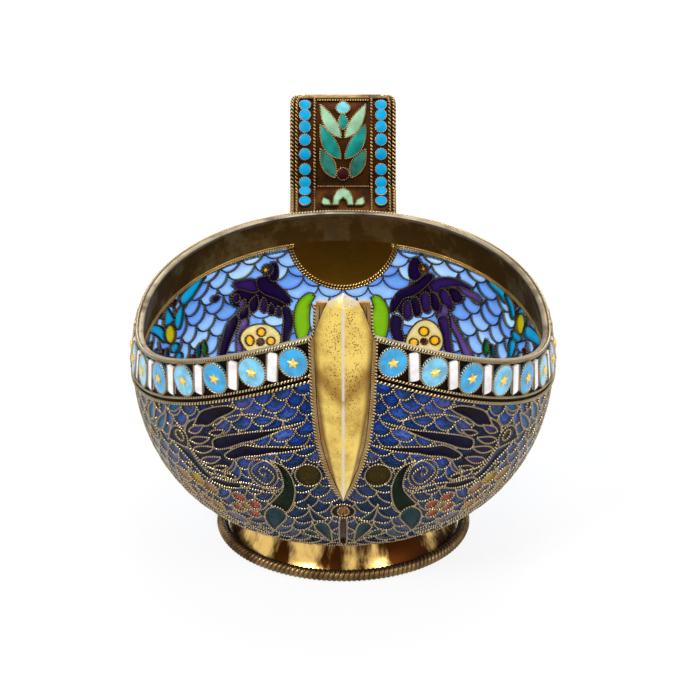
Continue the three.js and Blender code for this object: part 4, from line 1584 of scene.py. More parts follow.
def make_handle_body():
    """The hollow strap: front and back sheets, two cheeks and the end bead."""
    handle = chosen("handle")
    line = strap()
    first = line.start - 0.4 * MM
    last = line.reach[-1]

    def sheet(name, columns, at, outward):
        def place(u, v):
            return at(u, first + (last - first) * v)

        piece = laid_grid(name, columns, STRAP_STEPS, place)
        face_outward(piece, outward)
        thicken(piece, handle.sheet)
        return piece

    faces = (
        ("front", 0.0, "strap", "gilt_wire"),
        ("back", handle.sheet - handle.thickness, "bright", "gilt_bright"),
    )
    for name, top, kind, slot in faces:
        def level(u, s, top=top):
            return line.at((2 * u - 1) * line.half(s), s, top)

        face = sheet(f"handle_{name}_sheet", 16, level, (0, -0.5, 1))
        bevel(face, 0.12, 60)
        complete(face, 40, metal(kind), slot, f"handle_{name}_plate")
    for hand, side in HANDS:
        def upright(u, s, side=side):
            depth = -handle.sheet - (handle.thickness - 2 * handle.sheet) * u
            return line.at(side * line.half(s), s, depth)

        cheek = sheet(f"handle_cheek_sheet_{hand}", 4, upright, (side, 0, 0))
        complete(cheek, 40, metal("bright"), "gilt_bright", f"handle_cheek_{hand}")

    bead = handle.thickness / 2
    deselect_all()
    bpy.ops.mesh.primitive_cylinder_add(
        vertices=32,
        radius=bead,
        depth=2 * line.half(last),
        location=tuple(line.at(0.0, last, -bead)),
        rotation=(0, math.pi / 2, 0),
    )
    roll = named("handle_end_roll")
    bevel(roll, 0.5, 60, 4)
    complete(roll, 40, metal("bright"), "gilt_bright", "handle_end_bead")


# The doubled edge wires in millimetres: distance in from the strap's edge, and radius
STRAP_WIRES = ((0.1, 0.5), (1.05, 0.42))
STRAP_PITCH = 1.7 * MM
STRAP_BEAD = 0.75 * MM


def make_handle_wires():
    """Doubled twisted wires on the strap's edges and single ones beside the leaves."""
    handle = chosen("handle")
    line = strap()
    s = np.linspace(line.start, line.reach[-1], 240)
    outs = line.out(s)
    inner = handle.width / 2 - handle.edge_wire - handle.dot_column - handle.inner_wire / 2
    for hand, side in HANDS:
        runs = []
        for inset, radius in np.array(STRAP_WIRES) * MM:
            points = line.at(side * (line.half(s) - inset), s, radius * 0.7)
            runs += strand_rings(points, outs, radius, STRAP_PITCH)
        wired(f"handle_edge_twist_{hand}", runs, "dull", f"handle_edge_wire_{hand}")
        radius = handle.inner_wire / 2
        rings = twisted_rings(line.at(side * inner, s, radius * 0.7), outs, radius, STRAP_BEAD)
        wired(f"handle_inner_twist_{hand}", [rings], "dull", f"handle_inner_wire_{hand}")


# Dots beside the leaves, in millimetres along the strap
DOTS = (6.1, 9.0, 11.2, 14.1, 17.4, 20.5, 23.3, 25.9, 28.3)

CELL_RISE = 0.5 * MM
CELL_EDGE = 0.22 * MM
CELL_CUTS = 0.7 * MM
CELL_WIRE = 0.22 * MM
CELL_WIRE_BEAD = 0.5 * MM
CELL_WIRE_LIFT = 0.38 * MM


def handle_cell(outline, enamel, rise):
    """A low domed enamel cell on the strap from an outline of x and distance along."""
    corners = [(x, s, 0) for x, s in outline.tolist()]
    cell = meshed("cell", corners, [tuple(range(len(corners)))])
    low, high = outline[:, 1].min(), outline[:, 1].max()
    with editing(cell):
        bpy.ops.mesh.normals_make_consistent(inside=False)
        draw_up(rise * 0.8)
        draw_in(CELL_EDGE, rise * 0.2)
        for cut in np.arange(low + CELL_CUTS, high, CELL_CUTS):
            bpy.ops.mesh.select_all(action="SELECT")
            bpy.ops.mesh.bisect(plane_co=(0, cut, 0), plane_no=(0, 1, 0))
    move_corners(cell, strap().at(*corners_of(cell).T))
    close_up(cell)
    smooth(cell, 40)
    coat(cell, enamel)
    return cell


def bulged(start, end, left, right, steps=9):
    """A leaf's outline between two points, bulging by a distance to its left and to its right."""
    start, end = np.array(start), np.array(end)
    along = end - start
    square = np.array([-along[1], along[0]]) / np.linalg.norm(along)
    u = np.linspace(0, 1, steps)
    swell = np.sin(np.pi * u**0.85) ** 0.9
    up = start + along * u[:, None] + square * (left * swell)[:, None]
    down = start + along * u[:, None] - square * (right * swell)[:, None]
    return np.vstack([up, down[-2:0:-1]])


# Leaves on the strap in millimetres across and along: glaze, start, end, bulge left and right
HANDLE_LEAVES = (
    ("mint", (0.35, 20.8), (5.0, 28.4), 1.0, 1.75),
    ("jade", (0.45, 16.3), (4.95, 23.9), 1.1, 2.0),
    ("sea", (1.75, 12.2), (4.95, 18.6), 1.5, 1.5),
    ("ice", (0, 26.0), (0, 29.3), 1.6, 1.6),
    ("jade", (0, 22.6), (0, 26.4), 1.1, 1.1),
)

# Enamels on the strap: a screen colour, the share of it that the clouding keeps, and roughness
STRAP_ENAMELS = {
    "mint": ((140, 182, 148), 0.84, 0.3),
    "jade": ((14, 134, 122), 0.74, 0.25),
    "sea": ((38, 112, 98), 0.66, 0.25),
    "ice": ((108, 188, 198), 0.85, 0.25),
    "maroon": ((50, 0, 4), 0.7, 0.3),
    "dot": ((0, 146, 194), 0.92, 0.35),
}


def strap_glazes():
    """The enamels on the strap."""
    return {
        name: glaze(
            f"{name.title()} enamel", np.array(base) / 255, shade, rough, coat_weight=0.0, gloss=0.1
        )
        for name, (base, shade, rough) in STRAP_ENAMELS.items()
    }


def round_outline(x, s, radius, steps=20):
    """A circle on the strap."""
    a = np.linspace(0, math.tau, steps, endpoint=False)
    return np.stack([x + radius * np.cos(a), s + radius * np.sin(a)], 1)


# Outlines at the strap's foot and the maroon dot's place and radius, in millimetres
ARCH = (
    (-2.3, 5.0), (-2.1, 7.2), (-1.4, 9.0), (0, 9.9), (1.4, 9.0), (2.1, 7.2), (2.3, 5.0),
    (1.0, 5.0), (0.8, 6.3), (0, 7.2), (-0.8, 6.3), (-1.0, 5.0),
)
WING = ((2.6, 5.0), (3.0, 6.4), (4.4, 7.2), (4.7, 5.6), (4.2, 5.0))
MAROON_DOT = (0, 13.1, 1.35)
DOT_RADIUS = 1.25 * MM
DOT_RISE = 0.65 * MM

# Wires and rods across the strap in millimetres: distance along it and radius
CROSS_WIRES = ((10.3, 0.25), (29.9, 0.3))
CROSS_HALF = 5.6 * MM
CREST_RODS = ((30.8, 0.4), (32.0, 0.55))


def make_handle_enamel():
    """The leaves, the arch and the dots on the strap, each in its wire."""
    handle = chosen("handle")
    glazes = strap_glazes()
    line = strap()
    mirror = np.array([-1, 1])
    cells = []
    runs = []

    def put(outline, enamel, rise=CELL_RISE):
        cells.append(handle_cell(outline, glazes[enamel], rise))
        closed = np.vstack([outline, outline[:1]])
        points = line.at(*closed.T, CELL_WIRE_LIFT)
        out = line.out(closed[:, 1])
        runs.append(twisted_rings(points, out, CELL_WIRE, CELL_WIRE_BEAD, looped=True))

    for enamel, start, end, left, right in HANDLE_LEAVES:
        leaf = bulged(start, end, left, right) * MM
        put(leaf, enamel)
        if start[0] > 0:
            put(leaf * mirror, enamel)
    put(round_outline(*np.array(MAROON_DOT) * MM), "maroon", DOT_RISE)
    put(np.array(ARCH) * MM, "mint")
    wing = np.array(WING) * MM
    put(wing, "mint")
    put(wing * mirror, "mint")
    column = handle.width / 2 - handle.edge_wire - handle.dot_column / 2
    for s in DOTS:
        for side in (1, -1):
            put(round_outline(side * column, s * MM, DOT_RADIUS), "dot", DOT_RISE)
    hand_over(join("handle_enamel_cells", cells), "enamel_leaf", "handle_leaf_plaque")

    x = np.linspace(-1, 1, 12) * CROSS_HALF
    for s, radius in np.array(CROSS_WIRES) * MM:
        runs.append(twisted_rings(line.at(x, s, 0.2 * MM), line.out(x * 0 + s), radius, 0.55 * MM))
    wired("handle_cell_wires", runs, "dull")
    rods = []
    for s, radius in np.array(CREST_RODS) * MM:
        x = np.linspace(-1, 1, 20) * (line.half(s) - 1.0 * MM)
        points = line.at(x, s, 0.35 * MM)
        rods.append(twisted_rings(points, line.out(x * 0 + s), radius, STRAP_BEAD, twist=0.0))
    wired("handle_crest_rods", rods, "thick")


# Handle seat

SEAT_COLUMNS = 40
SEAT_ROWS = 16
SEAT_WIRE = 0.34 * MM
SEAT_WIRE_INSETS = (0.35 * MM, -0.3 * MM)

# Radians by which the seat's wires stop short of the half circle at each end
SEAT_WIRE_SHORT = 0.14


def seat_middle():
    """The height of the middle of the plain plate behind the handle."""
    t = hull().t_below(np.array(math.pi), chosen("band").seat_depth)
    return float(hull().point(np.array(math.pi), t)[2])


def on_wall(x, z):
    """The stern's angle and share of height at a distance across and a height."""
    bowl = chosen("bowl")
    a = math.pi - x / bowl.back_length
    for _ in range(6):
        t = (z - bowl.foot_height) / (hull().rim(a) - bowl.foot_height)
        miss = hull().place(a, t)[..., 0] - x
        slip = hull().place(a + 1e-4, t)[..., 0] - hull().place(a - 1e-4, t)[..., 0]
        a = a - miss / (slip / 2e-4)
    return a, t


def make_seat():
    """The plain half-round plate behind the handle and its doubled twisted border."""
    band = chosen("band")
    radius = band.seat_radius
    middle = seat_middle()
    hem_t = hull().t_below(np.array(math.pi), hull().hem(math.pi))
    hem_z = float(hull().point(np.array(math.pi), hem_t)[2])
    reach = math.sqrt(radius**2 - (middle - hem_z) ** 2)

    def place(u, v):
        x = reach * np.sin((u - 0.5) * math.pi)
        low = middle - np.sqrt(np.maximum(radius**2 - x**2, 0))
        a, _ = on_wall(x, np.full_like(x, hem_z))
        top = hull().point(a, hull().t_below(a, hull().hem(a) - 0.4 * MM))[..., 2]
        a, t = on_wall(x, low + (top - low) * v)
        return hull().place(a, t, -0.02 * MM * v)

    seat = laid_grid("handle_seat_plate", SEAT_COLUMNS, SEAT_ROWS, place)
    face_outward(seat, (0, 1, 0), SEAT_COLUMNS * SEAT_ROWS // 2 + SEAT_COLUMNS // 2)
    coat(seat, metal("lunette"))
    thicken(seat, band.thickness)
    smooth(seat, 50)
    hand_over(seat, "gilt_inner", "handle_seat")

    runs = []
    around = np.linspace(-math.pi / 2 + SEAT_WIRE_SHORT, math.pi / 2 - SEAT_WIRE_SHORT, 120)
    for inset in SEAT_WIRE_INSETS:
        x = (radius - inset) * np.sin(around)
        a, t = on_wall(x, middle - (radius - inset) * np.cos(around))
        outs = hull().normal(a, t)
        for out, flip in ((-band.thickness - 0.1 * MM, -1), (0.1 * MM, 1)):
            runs.append(twisted_rings(hull().place(a, t, out), outs * flip, SEAT_WIRE, 2 * SEAT_WIRE))
    wired("handle_seat_wires", runs, "warm")


# The wall's pattern, on a chart of degrees from the prow and millimetres up the wall

FRONT_SPAN = 5.0
STERN_SPAN = 6.0

# Degrees from which and over which a scale's width goes from the front's to the stern's
SPAN_START = 60
SPAN_REACH = 90

# Degrees beside the prow and the stern in which the scales stay even
EVEN_END = 8

SCALE_RISE = 2.5
SCALE_ROWS = 25
SCALE_TONES = ("", "_deep", "", "_pale", "")
SCALE_SEED = 5
SCALE_UNEVENNESS = 0.13

# Where the scales turn from the front's blue to the stern's lighter blue, in degrees, and how far that
# wavers; the stern's blue is a painted backlit copy of the same enamel, lit by the backdrop through the
# wall
BACKLIT_START = 84
BACKLIT_WAVER = 14

# Bare millimetres of the wall at its foot and below the band's hem
FOOT_BARE = 0.3
HEM_BARE = 0.25

# What a scale's colour is multiplied by at its lower and at its upper edge, and the rows between: painted
# light low in each scale, and the painted shadow of the wire along its top
LIT_LOW_IN_SCALE = np.array([1.22, 1.2, 1.22])
SHADED_HIGH_IN_SCALE = np.array([0.62, 0.74, 0.86])
SHADE_ROWS = 1.5


def curve_through(points, looped, steps=7):
    """A smooth curve through points; a point given twice is a corner."""
    p = np.array(points, float)
    if looped:
        p = np.vstack([p[-1:], p, p[:2]])
    else:
        p = np.vstack([2 * p[:1] - p[1:2], p, 2 * p[-1:] - p[-2:-1]])
    u = np.linspace(0, 1, steps, endpoint=False)[:, None]
    parts = []
    for k in range(1, len(p) - 2):
        a, b, c, d = p[k - 1 : k + 3]
        parts.append(
            0.5
            * (
                2 * b
                + (c - a) * u
                + (2 * a - 5 * b + 4 * c - d) * u**2
                + (3 * b - a - 3 * c + d) * u**3
            )
        )
    line = np.vstack(parts)
    if not looped:
        line = np.vstack([line, p[-2:-1]])
    return line


def degree_width(angle, rise):
    """Millimetres across one degree of the chart."""
    a = np.radians(angle)
    t = hull().t_up(a, rise * MM)
    step = math.radians(0.5)
    across = np.linalg.norm(hull().point(a + step, t) - hull().point(a - step, t), axis=-1)
    return across / MM


def leaf_outline(base, tip, width, bend=0.0):
    """A pointed leaf from base to tip, as wide as given in millimetres."""
    base, tip = np.array(base, float), np.array(tip, float)
    k = float(degree_width(*((base + tip) / 2)))
    start, end = base * (k, 1), tip * (k, 1)
    along = end - start
    square = np.array([-along[1], along[0]]) / np.linalg.norm(along)
    u = np.linspace(0, 1, 13)
    spine = start + along * u[:, None] + square * (bend * np.sin(math.pi * u))[:, None]
    swell = np.sin(math.pi * u**0.8) * width / 2
    left = spine + square * swell[:, None]
    right = spine - square * swell[:, None]
    return np.vstack([left, right[-2:0:-1]]) / (k, 1)


def oval_outline(centre, degrees, height, steps=28):
    """An oval given by its half width in degrees and half height in millimetres."""
    a = np.linspace(0, math.tau, steps, endpoint=False)
    return np.stack([centre[0] + degrees * np.cos(a), centre[1] + height * np.sin(a)], 1)


# Millimetres by which the stern's shapes spread under their wires
GROWTH = 0.42

# Each entry is a kind, an enamel and its numbers; later ones lie over earlier ones
BIRD = (
    ("blob", "slate", ((48.9, 38), (48.6, 41), (45.5, 43.6), (41, 45), (37, 43), (34, 39.5), (33, 36.5),
        (36, 33), (40, 32), (44, 32.3), (47, 34.3))),
    ("blob", "plume", ((45, 42.5), (45, 42.5), (42, 46.2), (38, 48.2), (33, 49.6), (30, 49.4), (30, 49.4),
        (32, 48), (36, 46), (40, 43.5))),
    ("blob", "plume", ((39, 40.2), (35, 42), (30, 43.3), (25, 44.4), (20, 45.3), (15, 46.6), (11, 47.6),
        (11, 47.6), (16, 46), (20, 44.3), (25, 42.3), (30, 40.8), (35, 38.8), (39, 38))),
    ("blob", "plume", ((36, 37), (30, 40.3), (25, 40.6), (20, 41), (15, 41.2), (8.5, 41.8), (8.5, 41.8),
        (13, 40.5), (18, 39.6), (22, 39), (25, 38.2), (30, 37.3), (34, 36))),
    ("leaf", "violet", (48, 38), (40, 40.5), 1.7, 0.2),
    ("leaf", "lilac", (47.5, 40.3), (41.5, 43.3), 1.6, 0.2),
    ("leaf", "violet", (47.5, 35.8), (39, 38.3), 1.7, 0.2),
    ("leaf", "lilac", (45.5, 33.4), (37.5, 36), 1.7, 0.2),
    ("leaf", "violet", (41.5, 32.3), (36, 33.8), 1.4, 0.2),
    ("leaf", "violet", (40, 41.6), (34.5, 43.5), 1.4, 0.2),
    ("blob", "slate", ((57.8, 35.7), (57.8, 35.7), (55.5, 38.6), (53.2, 40.2), (50.6, 40.3), (48.9, 39.2),
        (48.9, 37.2), (50, 35.6), (52, 34.8), (55, 35.6))),
    ("oval", "olive", (51.8, 38.2), 1.6, 1.3),
    ("blob", "slate", ((55.5, 35.4), (53, 33.8), (50, 31.8), (47.5, 29.6), (44.8, 28.2), (42, 28.2),
        (42, 28.2), (43, 29.8), (45.2, 31.4), (47, 33.2), (48.6, 35.4), (50, 35.6))),
    ("blob", "plume", ((44.5, 28.2), (42, 29.5), (37, 29.4), (33, 29.8), (33, 29.8), (33.5, 28.2),
        (38, 27.4), (42, 27.6))),
    ("oval", "violet", (43, 31.2), 2, 0.8),
    ("oval", "lilac", (39.5, 31.3), 2, 0.8),
    ("oval", "violet", (36, 31), 2, 0.8),
    ("line", "", ((33, 28.9), (28, 28.2), (23, 28), (20.5, 28.8))),
    ("line", "", ((33, 29.9), (29, 29.9), (24, 29.2), (20.8, 29.8))),
    ("line", "", ((37, 44.3), (33, 46.8), (29, 48), (25, 48.6), (20, 48.3), (15, 47.6))),
)
SPRAY = (
    ("leaf", "cyan", (63.5, 36.2), (56, 42.5), 2.1, 0.3),
    ("leaf", "cyan", (67.5, 37.2), (62, 43.3), 2.6, 0.3),
    ("leaf", "cyan", (55, 43.7), (48.5, 46.5), 1.5, 0.2),
    ("oval", "olive", (66, 35), 2.2, 1.5),
    ("oval", "maroon", (60.3, 42.7), 1.3, 1.0),
)
SCROLL = (
    ("oval", "scale_pale", (24.6, 33.4), 4.6, 3.9),
    ("line", "", ((20, 35.5), (24, 37), (28.3, 33.7), (24.5, 30.4), (21.2, 33), (24, 35.3), (25.8, 34),
        (24.5, 32.8), (23.8, 33.8))),
    ("blob", "moss", ((21.5, 37.2), (21.5, 37.2), (18, 36), (16, 33.5), (15.2, 30), (15.8, 27), (17, 24.5),
        (18.8, 22.5), (20.5, 22), (24.8, 24.3), (24.8, 24.3), (21, 27.5), (19.2, 29.5), (18.7, 32),
        (19.5, 35))),
    ("oval", "olive", (10.6, 33.7), 4.1, 3.1),
)
BED = (
    ("blob", "teal", ((28.5, 17), (28.5, 17), (28, 20), (26, 22.5), (23, 23.7), (23, 23.7), (21, 23),
        (20, 21.8), (20, 20), (22, 18), (25, 15.5), (27, 14))),
    ("blob", "petrol", ((11.5, 25), (11.5, 25), (10, 23), (7, 20.8), (5.5, 19.8), (5.5, 19.8), (9.5, 19.3),
        (11, 21))),
    ("blob", "teal", ((10.5, 17), (9, 18.8), (7, 19), (5.2, 17.5), (4.5, 14), (4.5, 9), (4.5, 9), (6, 11),
        (8.5, 14))),
    ("blob", "teal", ((15.3, 14), (15.3, 14), (14, 16), (11, 15.2), (9.5, 13.5), (12, 12.8))),
    ("blob", "stem", ((-1.5, 8), (-1.5, 8), (-1.2, 20), (1.2, 20), (1.5, 8), (1.5, 8))),
    ("oval", "maroon", (0, 22.7), 4.1, 2.3),
    ("oval", "amber", (0, 22.7), 1.9, 1.5),
    *(("oval", "rose", petal, 2.4, 1.5) for petal in ((35.3, 25), (30.5, 23.3), (37.3, 21.3), (32, 20))),
    ("oval", "lemon", (34, 22.3), 1.9, 1.3),
    ("oval", "mauve", (41, 16.5), 4.5, 2.2),
    ("leaf", "leaf", (46, 11), (52, 16), 2.2, 0.4),
    ("leaf", "teal", (30, 12), (38, 13.5), 1.8, 0.3),
)
FLOWER = (
    ("oval", "amber", (46, 25.5), 3.0, 1.9),
    ("oval", "orange", (50.6, 27.2), 3.0, 1.8),
    ("oval", "amber", (57, 26.5), 3.4, 1.9),
    ("oval", "orange", (58.5, 21.5), 2.8, 2.1),
    ("oval", "amber", (52.5, 17.5), 3.0, 1.9),
    ("oval", "orange", (47, 19.5), 2.8, 1.9),
    ("oval", "mauve", (50.5, 24), 2.2, 1.4),
    ("oval", "mauve", (54.6, 22.4), 2.0, 1.6),
    ("oval", "rose", (50.8, 20.8), 2.2, 1.4),
    ("oval", "maroon", (52.4, 22.3), 1.1, 0.8),
    ("oval", "maroon", (52, 30.4), 1.3, 0.9),
)
STERN_BIRD = (
    ("blob", "plume", ((146, 41), (149, 42.2), (152.5, 42.5), (155, 42.5), (160, 39.5), (162.5, 37.5),
        (160.5, 35), (157.5, 36), (154.5, 37.5), (151.5, 37.5), (149, 38.5), (146.5, 39))),
    ("blob", "violet", ((146.7, 43.7), (146.7, 43.7), (148.9, 43.8), (152.2, 43.7), (153.9, 43),
        (154.1, 41.6), (152.5, 41.3), (149.8, 42.2), (147.4, 43))),
    ("blob", "plume", ((154.6, 43.4), (157.2, 43.7), (159.4, 43.4), (159.3, 42), (161.4, 40.3),
        (163, 38.6), (163.9, 37.3), (163.9, 37.3), (162.6, 37.5), (160, 38.9), (156.7, 40.2),
        (154.8, 41.6))),
    ("blob", "plume", ((159.2, 47), (159.2, 47), (160.2, 45.5), (159.9, 43.2), (158.4, 43.4),
        (158.5, 45))),
    ("oval", "slate", (157.5, 45.4), 1.7, 1.3),
    ("oval", "orange", (157, 45.4), 0.8, 0.6),
    ("leaf", "violet", (138.9, 41.4), (142.2, 41.5), 0.9, 0.0),
    ("oval", "violet", (147.1, 40.4), 1.2, 1.0),
    ("leaf", "lilac", (148.1, 38.2), (150, 39.8), 1.0, 0.0),
    ("leaf", "plume", (151.6, 36.3), (153.8, 40.4), 1.9, 0.2),
    ("leaf", "violet", (155.5, 35.8), (155.6, 39.6), 1.3, 0.1),
    ("leaf", "plume", (157.8, 35), (157.8, 38), 1.2, 0.1),
    ("leaf", "violet", (160, 34.3), (159.9, 37.2), 0.9, 0.0),
    ("blob", "plume", ((161.4, 36.2), (162.8, 35.9), (163.6, 33.3), (162.8, 31.3), (161.1, 28.6),
        (160.3, 28.8), (161.2, 32), (161.7, 34))),
    ("leaf", "plume", (147.6, 35), (150.8, 38.2), 1.8, 0.2),
    ("blob", "plume", ((146.4, 36.6), (146.4, 36.6), (145.8, 34.7), (142.4, 31.5), (138.9, 28.4),
        (137.9, 28.8), (141, 32.7), (143.6, 35.2))),
    ("blob", "lilac", ((148.1, 34.9), (149.7, 34.8), (147.8, 32), (145.6, 28.6), (144.8, 29.2),
        (146.2, 32.7))),
)
STERN_FLOWERS = (
    ("blob", "lemon", ((146.8, 31), (148.5, 32.8), (152, 33.4), (156, 32.8), (158.8, 31), (158.5, 29),
        (154, 27.8), (149, 28))),
    ("oval", "orange", (153.6, 31.9), 1.4, 0.95),
    ("oval", "orange", (149.4, 30.6), 1.4, 1.15),
    ("oval", "orange", (156.2, 29.6), 1.4, 0.9),
    ("oval", "maroon", (152.8, 29.8), 1.2, 0.8),
    ("blob", "lime", ((165.5, 29.6), (165, 33.3), (165.7, 36), (167.2, 37.7), (169.4, 38.7), (171.1, 38.5),
        (171.1, 38.5), (169, 36.3), (169.3, 34.7), (168.9, 32), (167.6, 29.6))),
    ("leaf", "sky_pale", (170.6, 29.8), (170.2, 36.9), 0.9, 0.0),
    ("blob", "cyan", ((127.8, 44.2), (130, 45.3), (133.3, 46.2), (137.4, 47.2), (137.4, 47.2),
        (133.6, 44.4), (130.6, 43.1), (128.6, 43.1))),
    ("blob", "cyan", ((124.4, 40), (125.6, 41.3), (128.5, 42.5), (128.5, 42.5), (127.4, 40), (125.7, 38.2),
        (124.4, 38.6))),
    ("blob", "cyan", ((121.1, 43.7), (121.1, 43.7), (119.1, 40.2), (119.1, 40.2), (123.9, 40.2),
        (123.9, 40.2))),
    ("blob", "cyan", ((106, 43.1), (106, 43.1), (108.9, 43.2), (111.9, 41.9), (115, 40.9), (117.3, 39.7),
        (118.5, 38.2), (117.6, 37), (115.6, 38.5), (113.3, 40), (110, 41.5))),
    ("oval", "yellow", (121, 37.7), 2.7, 2.1),
    ("oval", "cyan", (121.7, 34.4), 2.3, 1.0),
    ("oval", "cyan", (122.5, 32.2), 1.8, 0.9),
    ("oval", "maroon", (124.6, 44), 1.1, 0.9),
    ("oval", "maroon", (117.6, 43.4), 1.0, 0.7),
    ("oval", "maroon", (115, 35), 1.2, 0.8),
    ("oval", "maroon", (112.5, 44.2), 1.1, 0.8),
    ("oval", "maroon", (120.5, 45.6), 1.0, 0.7),
    ("oval", "maroon", (109, 38.4), 1.1, 0.8),
    ("leaf", "cyan", (112.5, 36.6), (106.5, 33.6), 1.5, 0.2),
    ("leaf", "petrol", (118.5, 35.2), (114.5, 31.2), 1.4, -0.2),
    ("leaf", "cyan", (111.5, 32.6), (106, 30.4), 1.3, 0.2),
    ("leaf", "teal", (129.4, 29.8), (132.8, 33.2), 1.1, 0.1),
    ("leaf", "leaf", (132.8, 29.8), (134.2, 33.6), 1.1, 0.1),
)
RIGHT_STERN = (
    ("blob", "plume", ((143.5, 41), (147, 43.2), (153, 43), (155, 44.2), (160, 41.2), (163.5, 37.5),
        (161, 35), (158, 36), (154.5, 37), (150.5, 38), (147.5, 38.5), (146, 40))),
    ("blob", "violet", ((140.6, 43.5), (143.9, 44.4), (147.8, 44.6), (151.7, 43.8), (153.6, 42.7),
        (152.8, 41.5), (150.8, 41.3), (149.4, 42.5), (146.7, 43.5), (143.3, 43.7))),
    ("blob", "lilac", ((136.9, 41.5), (138.9, 42.5), (141.7, 42.8), (144.7, 43), (143.9, 42.5),
        (141.1, 42), (138.9, 41.7))),
    ("blob", "plume", ((143.3, 41), (145, 42.3), (147.2, 42.3), (146.7, 41), (145.6, 40), (143.9, 40.2))),
    ("blob", "violet", ((146.1, 38.3), (147.2, 40.3), (149.4, 41.8), (150.3, 41), (149.4, 39.3),
        (147.2, 38.2))),
    ("blob", "lilac", ((147.8, 37.7), (149.2, 38.2), (150, 37), (150.3, 36), (149.2, 35.5),
        (147.8, 36.3))),
    ("blob", "plume", ((150.3, 37.3), (150.8, 39.3), (152.2, 40.5), (153.6, 40), (153.1, 38.7),
        (151.4, 37.3))),
    ("blob", "violet", ((153.3, 36.7), (153.6, 38.7), (154.4, 40.2), (155.8, 39.7), (155.6, 38),
        (154.4, 36.5))),
    ("blob", "plume", ((156.1, 35.7), (156.4, 37.3), (157.5, 38.8), (158.6, 38.3), (158.1, 36.7),
        (157.2, 35.3))),
    ("blob", "violet", ((158.9, 34.7), (159.2, 36.7), (160, 37.8), (160.8, 36.7), (160.3, 34.3))),
    ("blob", "plume", ((153.3, 44.3), (154.7, 44.5), (156.7, 43), (160, 41), (162.8, 39.7), (164.7, 37.3),
        (164.7, 35.2), (163.3, 36.7), (161.7, 38.7), (158.9, 39.7), (156.7, 41), (154.7, 42.7))),
    ("blob", "plume", ((157.5, 47.3), (158.9, 47.7), (159.9, 46), (159.7, 43.7), (158.3, 43.2),
        (157.2, 44), (157.2, 45.7))),
    ("oval", "maroon", (156.1, 45.8), 1.4, 1.1),
    ("oval", "orange", (156.1, 45.8), 0.7, 0.5),
    ("blob", "lilac", ((146.1, 36.3), (144.4, 34.7), (140.6, 32), (136.1, 29.2), (138.9, 29.2),
        (142.2, 32), (145.6, 34.7))),
    ("blob", "violet", ((147.2, 35.7), (149.4, 35.2), (148.3, 33.3), (146.7, 30.7), (145, 28.8),
        (143.6, 28.8), (145.6, 32))),
    ("blob", "plume", ((161.7, 33.7), (163.9, 34.3), (164.4, 32), (162.8, 29.3), (160.3, 29.2),
        (161.7, 31.7))),
    ("blob", "lemon", ((147.5, 30), (149, 32.6), (152.5, 34.2), (156, 33.5), (158.6, 30.5), (158.3, 28.3),
        (153, 27.6), (149, 28))),
    ("oval", "orange", (154, 32), 1.6, 1.0),
    ("oval", "orange", (150, 30.5), 1.6, 1.0),
    ("oval", "orange", (156.7, 29.2), 1.5, 0.9),
    ("oval", "maroon", (153.4, 29.8), 1.1, 0.7),
    ("blob", "lime", ((166.4, 30), (166.1, 33.3), (166.7, 36), (168.9, 38), (171.1, 38.2), (171.1, 38.2),
        (170, 36), (170.6, 33.3), (169.4, 30), (167.8, 29.3))),
    ("blob", "cyan", ((126.6, 43.9), (128.3, 45.3), (131.1, 46.3), (134.8, 46.9), (134.2, 45.9),
        (131.1, 44.9), (128.3, 43.5))),
    ("blob", "cyan", ((123.1, 42), (124.4, 43.7), (127.2, 45), (127.5, 44.5), (125.6, 42.7), (124.2, 40.8),
        (123.3, 41))),
    ("blob", "cyan", ((119.2, 44.4), (119.2, 44.4), (116.6, 42), (117.8, 41.2), (120.6, 41.8),
        (122, 41.8))),
    ("oval", "yellow", (119.6, 40.3), 2.5, 2.4),
    ("blob", "cyan", ((118.1, 37.3), (122.5, 37.7), (122.2, 36.7), (120.6, 36.3))),
    ("blob", "cyan", ((120.3, 35.5), (122.8, 35.5), (122.2, 33.3), (120.8, 32))),
    ("blob", "cyan", ((104, 41), (107, 41), (111, 41), (114.4, 40.8), (116.7, 40.2), (116.7, 38.7),
        (113.9, 38.7), (110.6, 39), (106.7, 39.4))),
    ("oval", "maroon", (122.9, 44.6), 1.5, 0.9),
    ("oval", "maroon", (114.4, 35.2), 1.5, 0.9),
    ("leaf", "teal", (127.8, 30.5), (130.6, 33.3), 1.1, 0.1),
    ("leaf", "leaf", (131.1, 30.3), (132.8, 34), 1.4, 0.1),
)


def moved(entry, turned=None, shift=0.0, lowered=0.0):
    """An entry of the pattern shifted round the bowl, and first turned about an angle if given."""
    def at(point):
        angle, rise = point
        if turned is not None:
            angle = 2 * turned - angle
        return (angle + shift, rise - lowered)

    kind, enamel, *numbers = entry
    if kind in ("blob", "line"):
        return (kind, enamel, tuple(at(p) for p in numbers[0]))
    if kind == "leaf":
        base, tip, width, bend = numbers
        return (kind, enamel, at(base), at(tip), width, -bend if turned is not None else bend)
    return (kind, enamel, at(numbers[0]), *numbers[1:])


def grown(entry):
    """An entry of the stern's pattern spread under its wires."""
    if entry[0] == "blob":
        return ("grown", *entry[1:])
    if entry[0] == "leaf":
        kind, enamel, base, tip, width, bend = entry
        return (kind, enamel, base, tip, width + 1.5 * GROWTH, bend)
    return entry


def whole_pattern(side):
    """The pattern of one side of the bowl, from the prow to the stern."""
    pattern = list(SCROLL + BIRD + SPRAY + BED + FLOWER)
    pattern += [moved(e, shift=38, lowered=1.0) for e in FLOWER]
    pattern += [moved(e, turned=90) for e in BED + FLOWER]
    pattern += [moved(e, turned=66, shift=18, lowered=3.5) for e in SPRAY]
    stern = RIGHT_STERN if side > 0 else STERN_BIRD + STERN_FLOWERS
    return pattern + [grown(e) for e in stern]


